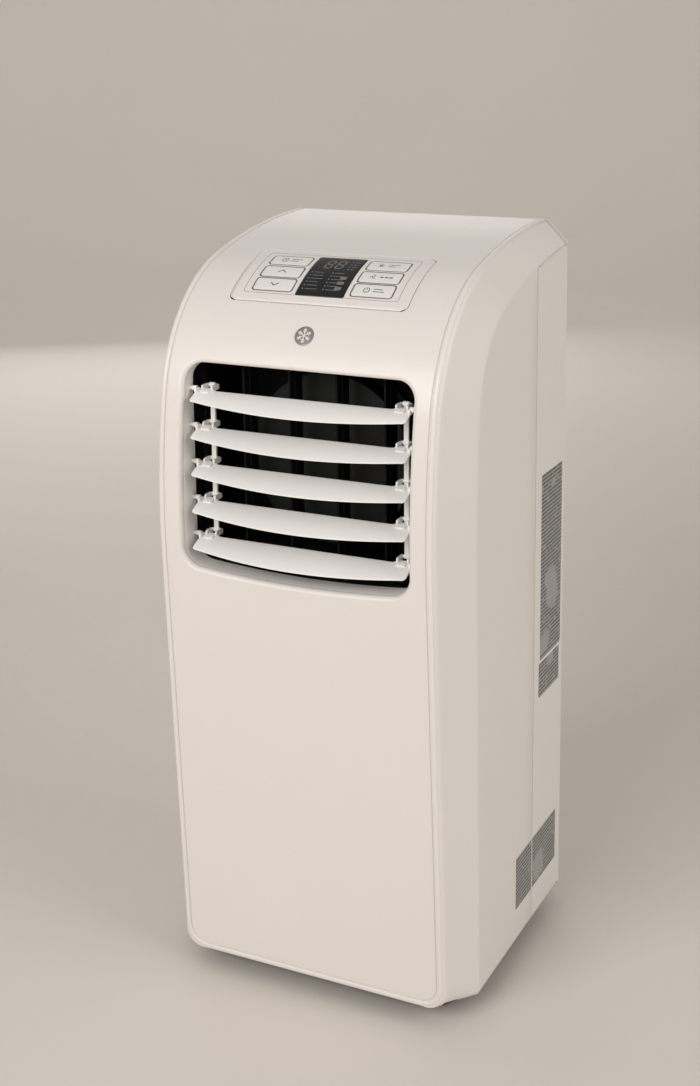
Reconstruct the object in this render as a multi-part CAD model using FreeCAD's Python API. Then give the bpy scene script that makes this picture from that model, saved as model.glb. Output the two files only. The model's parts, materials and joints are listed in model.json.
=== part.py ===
import FreeCAD, Part

import math
import os

from FreeCAD import Placement, Rotation, Vector

# A portable air conditioner on swivel casters, in millimetres.
# +Z is up, the louvred front faces -Y, and the origin is on the floor under the middle of the cabinet.

# ---- cabinet ----
WALL = 2.6
FLOOR_GAP = 18.0
HALF_WIDTH = 151.4
RIM_X = 131.8
RIM_WIDTH = 5.4
GROOVE = 0.8
BACK_Y = 140.0
SEAM_Y = 58.4
TOP_JOIN_Y = 136.9
CORNER_R = 17.0
# The overall depth, from the lowest louvre blade to the drain spigot, is centred this far behind the casing's middle.
CENTRE_Y = 4.6
# The front face, from the floor up: a straight run that leans forward, then three tangent arcs (radius, end heading).
FRONT_START = (-116.4, FLOOR_GAP)
FRONT_LEAN = -3.285
FRONT_RUN = 393.35
FRONT_ARCS = ((673.0, 9.5), (140.0, 74.7), (639.0, 90.0))
# Where the slanted shoulder meets the flat side.
SIDE_START = (-78.3, FLOOR_GAP)
SIDE_LEAN = -1.39
SIDE_RUN = 405.1
SIDE_ARCS = ((1040.0, 6.1), (98.0, 70.0), (602.0, 85.4))
# The foot of the casing: a chamfer on the shoulders and flanks, and a lip turned in under the base pan.
FOOT_CHAMFER = (3.0, 4.0)
FOOT_LIP = 9.0
FOOT_CORNER = 9.0
PAN_LOW = FLOOR_GAP + WALL + 0.2
# How far the shoulder's two edges step in for each millimetre of wall.
RIM_STEP = 0.61
SIDE_STEP = 0.244

# ---- louvre opening and blades ----
MOUTH_HALF = 111.8
MOUTH_LOW = 402.6
MOUTH_HIGH = 589.5
MOUTH_R = 19.0
VANES = 5
VANE_PITCH = 33.4
VANE_TOP_Z = 564.1
VANE_PIVOT_Y = -117.0
VANE_HALF = 104.0
VANE_T = 2.2
VANE_DROP = 3.0
VANE_TILT = 23.6
PIN_R = 2.5
RUNNING = 0.06
ROD_X = 94.0
ROD_PIN_Y = 12.0
ROD_PIN_Z = 1.4
ROD_PIN_R = 1.5
DUCT_HALF = 109.0
DUCT_FRONT = -103.0
DUCT_BACK = -14.0
DUCT_LOW = 401.0
DUCT_HIGH = 594.0
DEFLECTORS = 4
DEFLECTOR_PITCH = 46.0
DEFLECTOR_Y = -84.0

# ---- control panel ----
PANEL_HALF = 86.5
PANEL_S = (636.0, 715.0)
DISPLAY_HALF = 23.3
DISPLAY_S = (646.0, 704.6)
KEY_SIZE = (39.0, 15.5)
KEY_X = 48.0
KEY_ROWS = (694.0, 675.0, 657.0)
KEY_GAP = 0.35
KEY_PROUD = 0.6
KEY_DEPTH = 4.0
KEY_TRAVEL = 0.8
BADGE_S = 605.0

# ---- air side ----
FAN_Z = 497.0
FAN_R = 78.0
INLET_R = 60.0
SHAFT_R = 4.0
BLOWER_X = -38.0
BLOWER_Z = 303.0
BLOWER_R = 60.0
EXHAUST_X = 66.0
EXHAUST_Z = 303.0
EXHAUST_R = 62.0
COLLAR_WALL = 2.5
COLLAR_PROUD = 10.0
INTAKE_HALF = 112.0
INTAKE_Z = (418.0, 618.0)
GRILLE_AXIS = (134.0, 613.0)
GRILLE_PIN_R = 2.0
LOWER_Z = (72.0, 216.0)
TRAY_Z = 386.0
SPIGOT_R = 7.0
SPIGOT_REACH = 12.0
DRAIN = (-118.0, 50.0)
GLAND = (118.0, 56.0)
GLAND_BORE_R = 3.7

# ---- cooling circuit ----
COMPRESSOR = (-50.0, -22.0)
COMPRESSOR_LOW = 52.0
ACCUMULATOR_X = 24.0
EVAPORATOR = (112.0, 84.0, 108.0, 402.0, 626.0)
CONDENSER = (118.0, 92.0, 116.0, 62.0, 226.0)
EVAPORATOR_ROWS = 8
CONDENSER_ROWS = 6
FINS = 41

# ---- running gear ----
CASTER_X = 98.0
CASTER_Y = (-72.0, 92.0)
CASTER_R = 15.0
CASTER_W = 13.0
CASTER_TRAIL = 9.0
STEM_R = 4.0
POCKET_R = 31.0
POCKET_TOP = 37.5

X = Vector(1, 0, 0)
Y = Vector(0, 1, 0)


def box(x0, x1, y0, y1, z0, z1):
    return Part.makeBox(x1 - x0, y1 - y0, z1 - z0, Vector(x0, y0, z0))


def rod(radius, start, end):
    start = Vector(*start)
    along = Vector(*end) - start
    return Part.makeCylinder(radius, along.Length, start, along)


def tube(outer, inner, start, end):
    return rod(outer, start, end).cut(rod(inner, start, end))


def fuse(shapes):
    return shapes[0].multiFuse(shapes[1:]).removeSplitter() if len(shapes) > 1 else shapes[0]


def cut(shape, tools):
    return shape.cut(Part.makeCompound(tools)) if tools else shape


def rounded_prism(half_w, half_h, corner, depth):
    """A rectangle with round corners in XZ, centred on the origin, standing from -depth to +depth in Y."""
    outline = box(-half_w, half_w, -depth, depth, -half_h, half_h)
    upright = [e for e in outline.Edges if e.BoundBox.YLength > 1.9 * depth]
    return outline.makeFillet(corner, upright)


def run_of_arcs(start, lean, run, arcs, inset):
    """A straight run and tangent arcs in the YZ plane, moved inwards by inset. Headings are from +Z towards +Y."""
    heading = math.radians(lean)
    y = start[0] + inset * math.cos(heading)
    z = start[1] - inset * math.sin(heading)
    pieces = []
    nose = (y + run * math.sin(heading), z + run * math.cos(heading))
    pieces.append(("line", (y, z), nose))
    for radius, end_heading in arcs:
        radius = radius - inset
        end = math.radians(end_heading)
        middle = 0.5 * (heading + end)
        centre = (nose[0] + radius * math.cos(heading), nose[1] - radius * math.sin(heading))
        stops = [(centre[0] - radius * math.cos(a), centre[1] + radius * math.sin(a)) for a in (middle, end)]
        pieces.append(("arc", nose, stops[0], stops[1]))
        nose = stops[1]
        heading = end
    return pieces


def closed_section(x, pieces, back, low):
    """The outline of a cabinet section at x: the run of arcs, then down the back and along the bottom."""
    edges = []
    for piece in pieces:
        points = [Vector(x, p[0], p[1]) for p in piece[1:]]
        edges.append(Part.LineSegment(*points).toShape() if piece[0] == "line" else Part.Arc(*points).toShape())
    first = pieces[0][1]
    last = pieces[-1][-1]
    corners = [last, (back, last[1]), (back, low), first]
    corners = corners if back - last[0] > 0.01 else [last, (back, low), first]
    for a, b in zip(corners, corners[1:]):
        edges.append(Part.LineSegment(Vector(x, *a), Vector(x, *b)).toShape())
    return Part.Wire(edges)


def cabinet(inset):
    """The whole cabinet as one solid, with every face moved inwards by inset."""
    front = run_of_arcs(FRONT_START, FRONT_LEAN, FRONT_RUN, FRONT_ARCS, inset)
    side = run_of_arcs(SIDE_START, SIDE_LEAN, SIDE_RUN, SIDE_ARCS, SIDE_STEP * inset)
    rim = RIM_X - RIM_STEP * inset
    flank = HALF_WIDTH - inset
    back = BACK_Y - inset
    slab = Part.Face(closed_section(-rim, front, back, front[0][1][1])).extrude(Vector(2 * rim, 0, 0))
    solids = [slab]
    for sign in (-1, 1):
        inner = closed_section(sign * rim, front, back, front[0][1][1])
        outer = closed_section(sign * flank, side, back, side[0][1][1])
        solids.append(Part.makeLoft([inner, outer], True, True))
    return solids[0].multiFuse(solids[1:])


def front_point(s, inset):
    """The place and heading on the front profile at arc length s from the floor, inset inwards."""
    heading = math.radians(FRONT_LEAN)
    y = FRONT_START[0]
    z = FRONT_START[1]
    step = min(s, FRONT_RUN)
    y += step * math.sin(heading)
    z += step * math.cos(heading)
    left = s - step
    for radius, end_heading in FRONT_ARCS:
        turn = min(left / radius, math.radians(end_heading) - heading)
        if turn <= 0:
            break
        y += radius * (math.cos(heading) - math.cos(heading + turn))
        z += radius * (math.sin(heading + turn) - math.sin(heading))
        heading += turn
        left -= radius * turn
    return y + inset * math.cos(heading), z - inset * math.sin(heading), heading


def on_front(shape, x, s, inset):
    """Moves a shape built around the origin facing -Y on to the front face at (x, s), square to it."""
    y, z, heading = front_point(s, inset)
    moved = shape.copy()
    moved.Placement = Placement(Vector(x, y, z), Rotation(X, math.degrees(-heading)))
    return moved


def panel_outline(grow):
    """A tall prism along Y with the front panel's outline: round lower corners, open at the top."""
    half = RIM_X - RIM_WIDTH + grow
    low = FLOOR_GAP + RIM_WIDTH - grow
    block = box(-half, half, -170, TOP_JOIN_Y - GROOVE + grow, low, 720)
    lower = [e for e in block.Edges if e.BoundBox.YLength > 200 and e.BoundBox.ZMax < low + 1]
    return block.makeFillet(CORNER_R + grow, lower)


def patch(s_range, half, corner, grow):
    """A prism that stands square through the front face over an arc length range, with round corners."""
    low = front_point(s_range[0], 0)
    high = front_point(s_range[1], 0)
    chord = math.hypot(high[0] - low[0], high[1] - low[1])
    prism = rounded_prism(half + grow, 0.5 * chord + grow, corner, 40)
    turn = math.degrees(math.atan2(high[0] - low[0], high[1] - low[1]))
    prism.Placement = Placement(
        Vector(0, 0.5 * (low[0] + high[0]), 0.5 * (low[1] + high[1])), Rotation(X, -turn)
    )
    return prism


def key_places():
    """Each key's name with its x and its arc length on the front face."""
    names = (("key_timer", "key_up", "key_down"), ("key_mode", "key_speed", "key_power"))
    places = {}
    for side, column in zip((-1, 1), names):
        for name, s in zip(column, KEY_ROWS):
            places[name] = (side * KEY_X, s)
    return places


def key_prism(gap):
    return rounded_prism(0.5 * KEY_SIZE[0] - gap, 0.5 * KEY_SIZE[1] - gap, 2.6, 12)


def mouth(grow, y0, y1):
    """The louvre opening as a prism along Y with round corners."""
    half_h = 0.5 * (MOUTH_HIGH - MOUTH_LOW)
    prism = rounded_prism(MOUTH_HALF + grow, half_h + grow, MOUTH_R + grow, 0.5 * (y1 - y0))
    prism.translate(Vector(0, 0.5 * (y0 + y1), 0.5 * (MOUTH_LOW + MOUTH_HIGH)))
    return prism


def vane_z(index):
    return VANE_TOP_Z - index * VANE_PITCH


# ---- cabinet pieces ----

def front_panel(shell):
    panel = shell.common(panel_outline(-GROOVE / 2))
    holes = [mouth(0.0, -160, -100), patch(PANEL_S, PANEL_HALF, 7, GROOVE / 2)]
    return cut(panel, holes)


def footprint(inset, z):
    """The casing's outline in plan at height z, with its shoulders, flanks and back moved inwards."""
    front_y = FRONT_START[0]
    flank = HALF_WIDTH - inset
    rim = RIM_X - RIM_STEP * inset
    side_y = SIDE_START[0] + SIDE_STEP * inset
    half = [(rim, front_y), (flank, side_y), (flank, BACK_Y - inset)]
    points = half + [(-x, y) for x, y in reversed(half)]
    corners = [Vector(x, y, z) for x, y in points]
    return Part.makePolygon(corners + corners[:1])


def foot_cutter():
    """What is taken off the casing's foot: the chamfer outside, the round rim corners and the way in below."""
    inset, rise = FOOT_CHAMFER
    low = FLOOR_GAP - 0.01
    keep = Part.makeLoft([footprint(inset, low), footprint(-0.6, low + rise)], True, True)
    front = box(-170, 170, -170, FRONT_START[0] + WALL, low - 1, low + rise)
    rear = box(-170, 170, BACK_Y - 3.5, BACK_Y + 10, low - 1, low + rise)
    chamfer = box(-170, 170, -170, 170, low - 1, low + rise).cut(Part.makeCompound([keep, front, rear]))
    way_in = Part.Face(footprint(FOOT_LIP, FLOOR_GAP - 2)).extrude(Vector(0, 0, WALL + 4))
    solids = [chamfer, way_in.common(box(-170, 170, FRONT_START[0] + FOOT_LIP, 170, 0, 100))]
    radius = FOOT_CORNER
    for sign in (-1, 1):
        middle = sign * (RIM_X - radius)
        corner = box(*sorted((middle, middle + sign * 40)), -150, -113.4, low - 1, FLOOR_GAP + radius)
        hub = rod(radius, (middle, -151, FLOOR_GAP + radius), (middle, -110, FLOOR_GAP + radius))
        solids.append(corner.cut(hub))
    return Part.makeCompound(solids)


def side_panel(shell, sign, strip):
    """The shoulder with its rim and the flat flank, forward of the rear cover's seam."""
    region = box(0.1, 160, -170, TOP_JOIN_Y - GROOVE, 0, 720)
    if sign < 0:
        region = region.mirror(Vector(0, 0, 0), X)
    panel = shell.common(region)
    return cut(panel, [panel_outline(GROOVE / 2), strip])


def seam_strip(sign, gap):
    """The flat part of a flank behind the seam, which belongs to the rear cover."""
    side = run_of_arcs(SIDE_START, SIDE_LEAN, SIDE_RUN, SIDE_ARCS, 2.0 - gap)
    outline = Part.Face(closed_section(sign * (HALF_WIDTH - WALL - 0.5), side, BACK_Y, 0.0))
    flank = outline.extrude(Vector(sign * 10, 0, 0))
    return flank.common(box(-170, 170, SEAM_Y - gap, BACK_Y, 0, 700))


def rear_cover(shell):
    wall = shell.common(box(-170, 170, TOP_JOIN_Y, 150, 0, 720))
    strips = [shell.common(seam_strip(sign, 0.0)) for sign in (-1, 1)]
    y, z = GRILLE_AXIS
    lugs = [box(side - 3, side + 3, y - 4.5, BACK_Y - 1, z - 5, z + 5) for side in (-116, 116)]
    cover = fuse([wall] + strips + lugs)
    holes = [
        box(-INTAKE_HALF, INTAKE_HALF, 120, 150, *INTAKE_Z),
        box(-INTAKE_HALF, INTAKE_HALF, 120, 150, *LOWER_Z),
        rod(EXHAUST_R + COLLAR_WALL + 0.2, (EXHAUST_X, 120, EXHAUST_Z), (EXHAUST_X, 150, EXHAUST_Z)),
        grip_space(2.0, 120, 150),
        rod(7.2, (DRAIN[0], 120, DRAIN[1]), (DRAIN[0], 150, DRAIN[1])),
        rod(9.2, (GLAND[0], 120, GLAND[1]), (GLAND[0], 150, GLAND[1])),
        rod(SPIGOT_R + 1.2, (-118, 120, TRAY_Z + 14), (-118, 150, TRAY_Z + 14)),
        rod(GRILLE_PIN_R + RUNNING, (-120, y, z), (120, y, z)),
    ]
    return cut(cover, holes)


def grip_space(grow, y0, y1):
    prism = rounded_prism(56 + grow, 13 + grow, 11 + grow, 0.5 * (y1 - y0))
    prism.translate(Vector(0, 0.5 * (y0 + y1), 646))
    return prism


def rear_grip():
    """A cup let into the rear cover, for the fingers."""
    flange = grip_space(7.0, BACK_Y, BACK_Y + 1.6)
    return fuse([grip_space(1.6, 112, BACK_Y), flange]).cut(grip_space(0.0, 113.8, 150))


def base_pan():
    """The tray that carries the works, with a pocket and a bearing boss for each caster."""
    outline = cabinet(WALL + 0.4)
    well = outline.common(box(-160, 160, -112, 136, PAN_LOW, 42))
    hollow = cabinet(WALL + 2.8).common(box(-160, 160, -109, 133, PAN_LOW + WALL, 60))
    tray = well.cut(hollow)
    solids = [tray]
    holes = []
    for x, y in caster_places():
        solids.append(rod(POCKET_R + 2.4, (x, y, PAN_LOW), (x, y, POCKET_TOP + 2.4)))
        solids.append(rod(STEM_R + 4, (x, y, POCKET_TOP), (x, y, POCKET_TOP + 20)))
        holes.append(rod(POCKET_R, (x, y, 0), (x, y, POCKET_TOP)))
        holes.append(rod(STEM_R + RUNNING, (x, y, 0), (x, y, POCKET_TOP + 16)))
    return cut(fuse(solids), holes)


def grille(half, z0, z1, bars, y0, y1):
    """A frame with level bars across it."""
    frame = box(-half, half, y0, y1, z0, z1).cut(box(-half + 7, half - 7, y0 - 1, y1 + 1, z0 + 7, z1 - 7))
    pitch = (z1 - z0 - 14) / (bars + 1)
    solids = [frame]
    for i in range(bars):
        z = z0 + 7 + (i + 1) * pitch
        solids.append(box(-half + 6, half - 6, y0, y1, z - 1.3, z + 1.3))
    for x in (-half / 3, half / 3):
        solids.append(box(x - 1.5, x + 1.5, y0, y0 + 2, z0 + 6, z1 - 6))
    return fuse(solids)


def intake_grille():
    """The hinged rear intake grille: pins near its top edge, a finger lip at its foot."""
    y, z = GRILLE_AXIS
    panel = grille(INTAKE_HALF - 0.6, INTAKE_Z[0] + 0.6, z - 1, 17, BACK_Y - 3, BACK_Y + 1.2)
    solids = [panel, box(-14, 14, BACK_Y + 0.2, BACK_Y + 5, INTAKE_Z[0] + 1.5, INTAKE_Z[0] + 4.5)]
    for sign in (-1, 1):
        solids.append(rod(GRILLE_PIN_R, (sign * 107, y, z), (sign * 118.5, y, z)))
        solids.append(rod(4.0, (sign * 107, y, z), (sign * 111, y, z)))
        solids.append(box(sign * 109 - 2, sign * 109 + 2, y - 3.8, BACK_Y - 1, z - 9, z - 1.5))
    return fuse(solids)


def intake_filter():
    """The dust filter that clips to the back of the hinged grille: a frame with a coarse net."""
    y0 = BACK_Y - 8
    y1 = BACK_Y - 3.2
    z0 = INTAKE_Z[0] + 4
    z1 = INTAKE_Z[1] - 18
    half = INTAKE_HALF - 5
    frame = box(-half, half, y0, y1, z0, z1).cut(box(-half + 5, half - 5, y0 - 1, y1 + 1, z0 + 5, z1 - 5))
    strands = [frame]
    for i in range(1, 8):
        x = -half + i * half / 4
        strands.append(box(x - 0.6, x + 0.6, y0 + 1.5, y0 + 2.7, z0 + 4, z1 - 4))
    for i in range(1, 7):
        z = z0 + i * (z1 - z0) / 7
        strands.append(box(-half + 4, half - 4, y0 + 1.5, y0 + 2.7, z - 0.6, z + 0.6))
    return fuse(strands)


def lower_grille():
    return grille(INTAKE_HALF - 0.3, LOWER_Z[0] + 0.3, LOWER_Z[1] - 0.3, 12, BACK_Y - 3, BACK_Y + 1.2)


def exhaust_collar():
    """The round hose collar, with a flange inside the cover and finger bars at its inner end."""
    outer = EXHAUST_R + COLLAR_WALL
    x, z = EXHAUST_X, EXHAUST_Z
    y0 = BACK_Y - 20
    guard = (y0 - 4, y0 - 1)
    solids = [
        tube(outer, EXHAUST_R, (x, y0, z), (x, BACK_Y + COLLAR_PROUD, z)),
        tube(outer, EXHAUST_R + 1.2, (x, guard[0], z), (x, y0, z)),
        tube(outer + 5, outer - 1, (x, BACK_Y - 5, z), (x, BACK_Y - WALL - 0.2, z)),
        rod(10, (x, guard[0], z), (x, guard[1], z)),
    ]
    for i in range(6):
        spoke = box(8, outer - 0.4, *guard, -1.4, 1.4)
        spoke.Placement = Placement(Vector(x, 0, z), Rotation(Y, 60 * i))
        solids.append(spoke)
    for radius in (26, 44):
        solids.append(tube(radius + 1.2, radius - 1.2, (x, guard[0], z), (x, guard[1], z)))
    return fuse(solids)


# ---- louvres ----

def louvre_frame():
    """The pale surround inside the opening that carries the blades' pins."""
    surround = mouth(0.0, -140, -97).cut(mouth(-2.6, -150, -90))
    y_limit = cabinet(WALL + 0.3)
    surround = surround.common(y_limit)
    holes = []
    for i in range(VANES):
        z = vane_z(i)
        holes.append(rod(PIN_R + RUNNING, (-130, VANE_PIVOT_Y, z), (130, VANE_PIVOT_Y, z)))
    return cut(surround, holes)


def vane(index):
    """One louvre blade: a tilted plate whose front edge bows out, with a pin at each end and two rod clips."""
    z = vane_z(index)
    rise = math.tan(math.radians(VANE_TILT))
    rear = 6.0
    end_front = -15.5 - 0.6 * index
    bow = 9.5
    middle = end_front - bow
    outline = [
        Part.LineSegment(Vector(-VANE_HALF, rear - 5, 0), Vector(-VANE_HALF, end_front + 7, 0)),
        Part.LineSegment(Vector(-VANE_HALF, end_front + 7, 0), Vector(-VANE_HALF + 5, end_front, 0)),
        Part.Arc(Vector(-VANE_HALF + 5, end_front, 0), Vector(0, middle, 0), Vector(VANE_HALF - 5, end_front, 0)),
        Part.LineSegment(Vector(VANE_HALF - 5, end_front, 0), Vector(VANE_HALF, end_front + 7, 0)),
        Part.LineSegment(Vector(VANE_HALF, end_front + 7, 0), Vector(VANE_HALF, rear - 5, 0)),
        Part.LineSegment(Vector(VANE_HALF, rear - 5, 0), Vector(VANE_HALF - 5, rear, 0)),
        Part.LineSegment(Vector(VANE_HALF - 5, rear, 0), Vector(-VANE_HALF + 5, rear, 0)),
        Part.LineSegment(Vector(-VANE_HALF + 5, rear, 0), Vector(-VANE_HALF, rear - 5, 0)),
    ]
    blade = Part.Face(Part.Wire([e.toShape() for e in outline])).extrude(Vector(0, 0, VANE_T))
    for sign in (-1, 1):
        blade = blade.cut(box(sign * ROD_X - 4.2, sign * ROD_X + 4.2, 1.0, 20, -5, 5))
    tilt = Placement(Vector(0, 0, -0.5 * VANE_T - VANE_DROP), Rotation(X, VANE_TILT))
    blade.Placement = tilt
    solids = [blade]
    for sign in (-1, 1):
        ear = box(-1.3, 1.3, -4.0, 4.0, -VANE_DROP - 1.0, 1.0).fuse(rod(4.0, (-1.3, 0, 0), (1.3, 0, 0)))
        ear.translate(Vector(sign * (VANE_HALF - 1.3), 0, 0))
        pin = rod(PIN_R, (sign * (VANE_HALF - 2.0), 0, 0), (sign * (MOUTH_HALF - 0.4), 0, 0))
        spacer = rod(4.0, (sign * (VANE_HALF - 1.0), 0, 0), (sign * (MOUTH_HALF - 3.2), 0, 0))
        solids += [ear, pin, spacer]
        for side in (-1, 1):
            x = sign * ROD_X + side * 5.2
            foot = -4.0 * rise
            arm = box(x - 0.9, x + 0.9, 3.0, ROD_PIN_Y, ROD_PIN_Z - 3.4, ROD_PIN_Z + 2.0)
            solids += [arm, rod(2.7, (x - 0.9, ROD_PIN_Y, ROD_PIN_Z), (x + 0.9, ROD_PIN_Y, ROD_PIN_Z))]
            solids.append(box(x - 0.9, x + 0.9, 0.5, 5.0, ROD_PIN_Z - 4.6 + foot * 0.2, ROD_PIN_Z))
        start = (sign * ROD_X - 5.4, ROD_PIN_Y, ROD_PIN_Z)
        solids.append(rod(ROD_PIN_R, start, (sign * ROD_X + 5.4, ROD_PIN_Y, ROD_PIN_Z)))
    whole = fuse(solids)
    whole.translate(Vector(0, VANE_PIVOT_Y, z))
    return whole


def link_rod(sign):
    """The upright rod that ties the blades together behind their rear edges."""
    y = VANE_PIVOT_Y + ROD_PIN_Y
    low = vane_z(VANES - 1) + ROD_PIN_Z - 5
    high = vane_z(0) + ROD_PIN_Z + 5
    bar = box(sign * ROD_X - 3, sign * ROD_X + 3, y - 2.6, y + 2.6, low, high)
    holes = []
    for i in range(VANES):
        z = vane_z(i) + ROD_PIN_Z
        holes.append(rod(ROD_PIN_R + 0.1, (sign * ROD_X - 9, y, z), (sign * ROD_X + 9, y, z)))
    return cut(bar, holes)


def air_duct():
    """The dark box behind the louvres, with the fan's round inlet in its back wall."""
    wall = 2.4
    outer = box(-DUCT_HALF, DUCT_HALF, DUCT_FRONT + 7, DUCT_BACK, DUCT_LOW, DUCT_HIGH)
    inner = box(-DUCT_HALF + wall, DUCT_HALF - wall, -130, DUCT_BACK - wall, DUCT_LOW + wall, DUCT_HIGH - wall)
    inlet = rod(INLET_R, (0, -50, FAN_Z), (0, 10, FAN_Z))
    lip = tube(INLET_R + 3, INLET_R, (0, DUCT_BACK - 6, FAN_Z), (0, DUCT_BACK - 1, FAN_Z))
    holes = [inner, inlet]
    for x in deflector_xs():
        holes.append(rod(2 + RUNNING, (x, DEFLECTOR_Y, DUCT_LOW - 1), (x, DEFLECTOR_Y, DUCT_HIGH + 1)))
    return fuse([cut(outer, holes), lip])


def deflector_xs():
    return [DEFLECTOR_PITCH * (i - 0.5 * (DEFLECTORS - 1)) for i in range(DEFLECTORS)]


def deflector(index):
    """An upright blade that turns the air sideways, on pins in the duct's floor and roof."""
    x = deflector_xs()[index]
    low = DUCT_LOW + 3.4
    high = DUCT_HIGH - 3.4
    blade = box(x - 0.9, x + 0.9, DEFLECTOR_Y - 10, DEFLECTOR_Y + 13, low, high)
    blade = blade.cut(box(x - 3, x + 3, DEFLECTOR_Y + 6, DEFLECTOR_Y + 20, low - 1, low + 9))
    spine = rod(2.0, (x, DEFLECTOR_Y, DUCT_LOW + 0.4), (x, DEFLECTOR_Y, DUCT_HIGH - 0.4))
    peg = rod(1.5, (x, DEFLECTOR_Y + 10, low + 2), (x, DEFLECTOR_Y + 10, low + 12))
    return fuse([blade, spine, peg])


def deflector_link():
    xs = deflector_xs()
    y = DEFLECTOR_Y + 10
    low = DUCT_LOW + 3.4 + 3
    bar = box(xs[0] - 4, xs[-1] + 4, y - 2.8, y + 2.8, low, low + 3)
    return cut(bar, [rod(1.6, (x, y, low - 2), (x, y, low + 5)) for x in xs])


# ---- control panel ----

def control_plate(shell):
    plate = shell.common(patch(PANEL_S, PANEL_HALF, 6.6, -GROOVE / 2))
    holes = [patch(DISPLAY_S, DISPLAY_HALF, 1.6, 0.15)]
    for x, s in key_places().values():
        holes.append(on_front(key_prism(0.0), x, s, 0.0))
    return cut(plate, holes)


def key(x, s, raised):
    """A key cap: it follows the curved panel, stands a little proud and has a stem behind."""
    cap = raised.common(on_front(key_prism(KEY_GAP), x, s, 0.0))
    stem = on_front(rod(2.2, (0, 0, 0), (0, KEY_DEPTH + 0.8, 0)), x, s, 0.0)
    return fuse([cap, stem.common(on_front(box(-9, 9, 1.5, 9, -6, 6), x, s, 0.0))])


def display_window(shell):
    return shell.common(patch(DISPLAY_S, DISPLAY_HALF, 1.5, 0.0))


def display_board():
    """The board behind the panel, with the digit block and a push switch under each key."""
    depth = 14.0
    low = front_point(PANEL_S[0] + 3, depth)
    high = front_point(PANEL_S[1] - 3, depth)
    middle = (0.5 * (low[0] + high[0]), 0.5 * (low[1] + high[1]))
    turn = math.atan2(high[0] - low[0], high[1] - low[1])
    half = 0.5 * math.hypot(high[0] - low[0], high[1] - low[1])
    board = box(-80, 80, 0, 1.6, -half, half)
    digits = box(-17, 17, -5.5, 0, -8, 14)
    solids = [board, digits]
    whole = fuse(solids)
    whole.Placement = Placement(Vector(0, *middle), Rotation(X, math.degrees(-turn)))
    switches = [whole]
    for x, s in key_places().values():
        reach = KEY_DEPTH + 0.8 + KEY_TRAVEL + 0.4
        switch = rod(2.5, (0, reach, 0), (0, reach + 6, 0))
        switches.append(on_front(switch, x, s, 0.0))
    return fuse(switches)


def badge():
    """A plain round badge with a six-armed ice crystal standing on it."""
    disc = rod(9.0, (0, -0.6, 0), (0, 0.2, 0))
    arms = [disc]
    for i in range(3):
        arm = box(-6.4, 6.4, -1.1, -0.4, -0.55, 0.55)
        arm.Placement = Placement(Vector(0, 0, 0), Rotation(Y, 60 * i + 30))
        arms.append(arm)
    return on_front(fuse(arms), 0, BADGE_S, -0.35)


# ---- fan, blower and cooling circuit ----

def centrifugal_wheel(x, z, y0, y1, outer, inner, blades, plate_at_front, bore):
    """A wheel on a Y axis: a back plate with a hub, curved blades, and a ring at the inlet side."""
    plate = rod(outer, (0, y0, 0), (0, y0 + 2, 0)) if plate_at_front else rod(outer, (0, y1 - 2, 0), (0, y1, 0))
    ring_y = (y1 - 2, y1) if plate_at_front else (y0, y0 + 2)
    ring = tube(outer, inner, (0, ring_y[0], 0), (0, ring_y[1], 0))
    hub = rod(11, (0, y0, 0), (0, y0 + 14, 0)) if plate_at_front else rod(11, (0, y1 - 14, 0), (0, y1, 0))
    solids = [plate, ring, hub]
    blade = box(inner - 1, outer - 0.5, y0 + 1, y1 - 1, -0.8, 0.8)
    for i in range(blades):
        one = blade.copy()
        one.rotate(Vector(0.5 * (inner + outer), 0, 0), Y, 28)
        one.rotate(Vector(0, 0, 0), Y, 360.0 * i / blades)
        solids.append(one)
    wheel = fuse(solids).common(rod(outer, (0, y0, 0), (0, y1, 0)))
    wheel = wheel.cut(rod(bore, (0, y0 - 1, 0), (0, y1 + 1, 0)))
    wheel.translate(Vector(x, 0, z))
    return wheel


def fan_wheel():
    """The cold-air wheel with its steel shaft pressed into the hub."""
    wheel = centrifugal_wheel(0, FAN_Z, -62, -26, FAN_R, INLET_R - 4, 24, True, SHAFT_R)
    return Part.makeCompound([wheel, rod(SHAFT_R, (0, -62, FAN_Z), (0, 20, FAN_Z))])


def blower_wheel():
    """The hot-air wheel with its steel shaft pressed into the hub."""
    wheel = centrifugal_wheel(BLOWER_X, BLOWER_Z, 48, 92, BLOWER_R, 44, 24, False, SHAFT_R)
    shaft = rod(SHAFT_R, (BLOWER_X, 76, BLOWER_Z), (BLOWER_X, BACK_Y - 11, BLOWER_Z))
    return Part.makeCompound([wheel, shaft])


def fan_motor():
    """The cold fan's motor: a can with a nose, and a blind bearing bore for the shaft."""
    can = rod(32.4, (0, -8, FAN_Z), (0, 46, FAN_Z))
    nose = rod(9, (0, -12, FAN_Z), (0, -8, FAN_Z))
    return fuse([can, nose]).cut(rod(SHAFT_R + RUNNING, (0, -20, FAN_Z), (0, 22, FAN_Z)))


def blower_motor():
    """The flat motor behind the snail housing, with its mounting plate."""
    y0 = BACK_Y - 25.0
    can = rod(29, (BLOWER_X, y0, BLOWER_Z), (BLOWER_X, y0 + 20, BLOWER_Z))
    nose = rod(9, (BLOWER_X, y0 - 14, BLOWER_Z), (BLOWER_X, y0, BLOWER_Z))
    plate = box(BLOWER_X - 38, BLOWER_X + 32, y0, y0 + 2, BLOWER_Z - 12, BLOWER_Z + 12)
    bore = rod(SHAFT_R + RUNNING, (BLOWER_X, y0 - 20, BLOWER_Z), (BLOWER_X, y0 + 15, BLOWER_Z))
    return fuse([can, nose, plate]).cut(bore)


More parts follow.
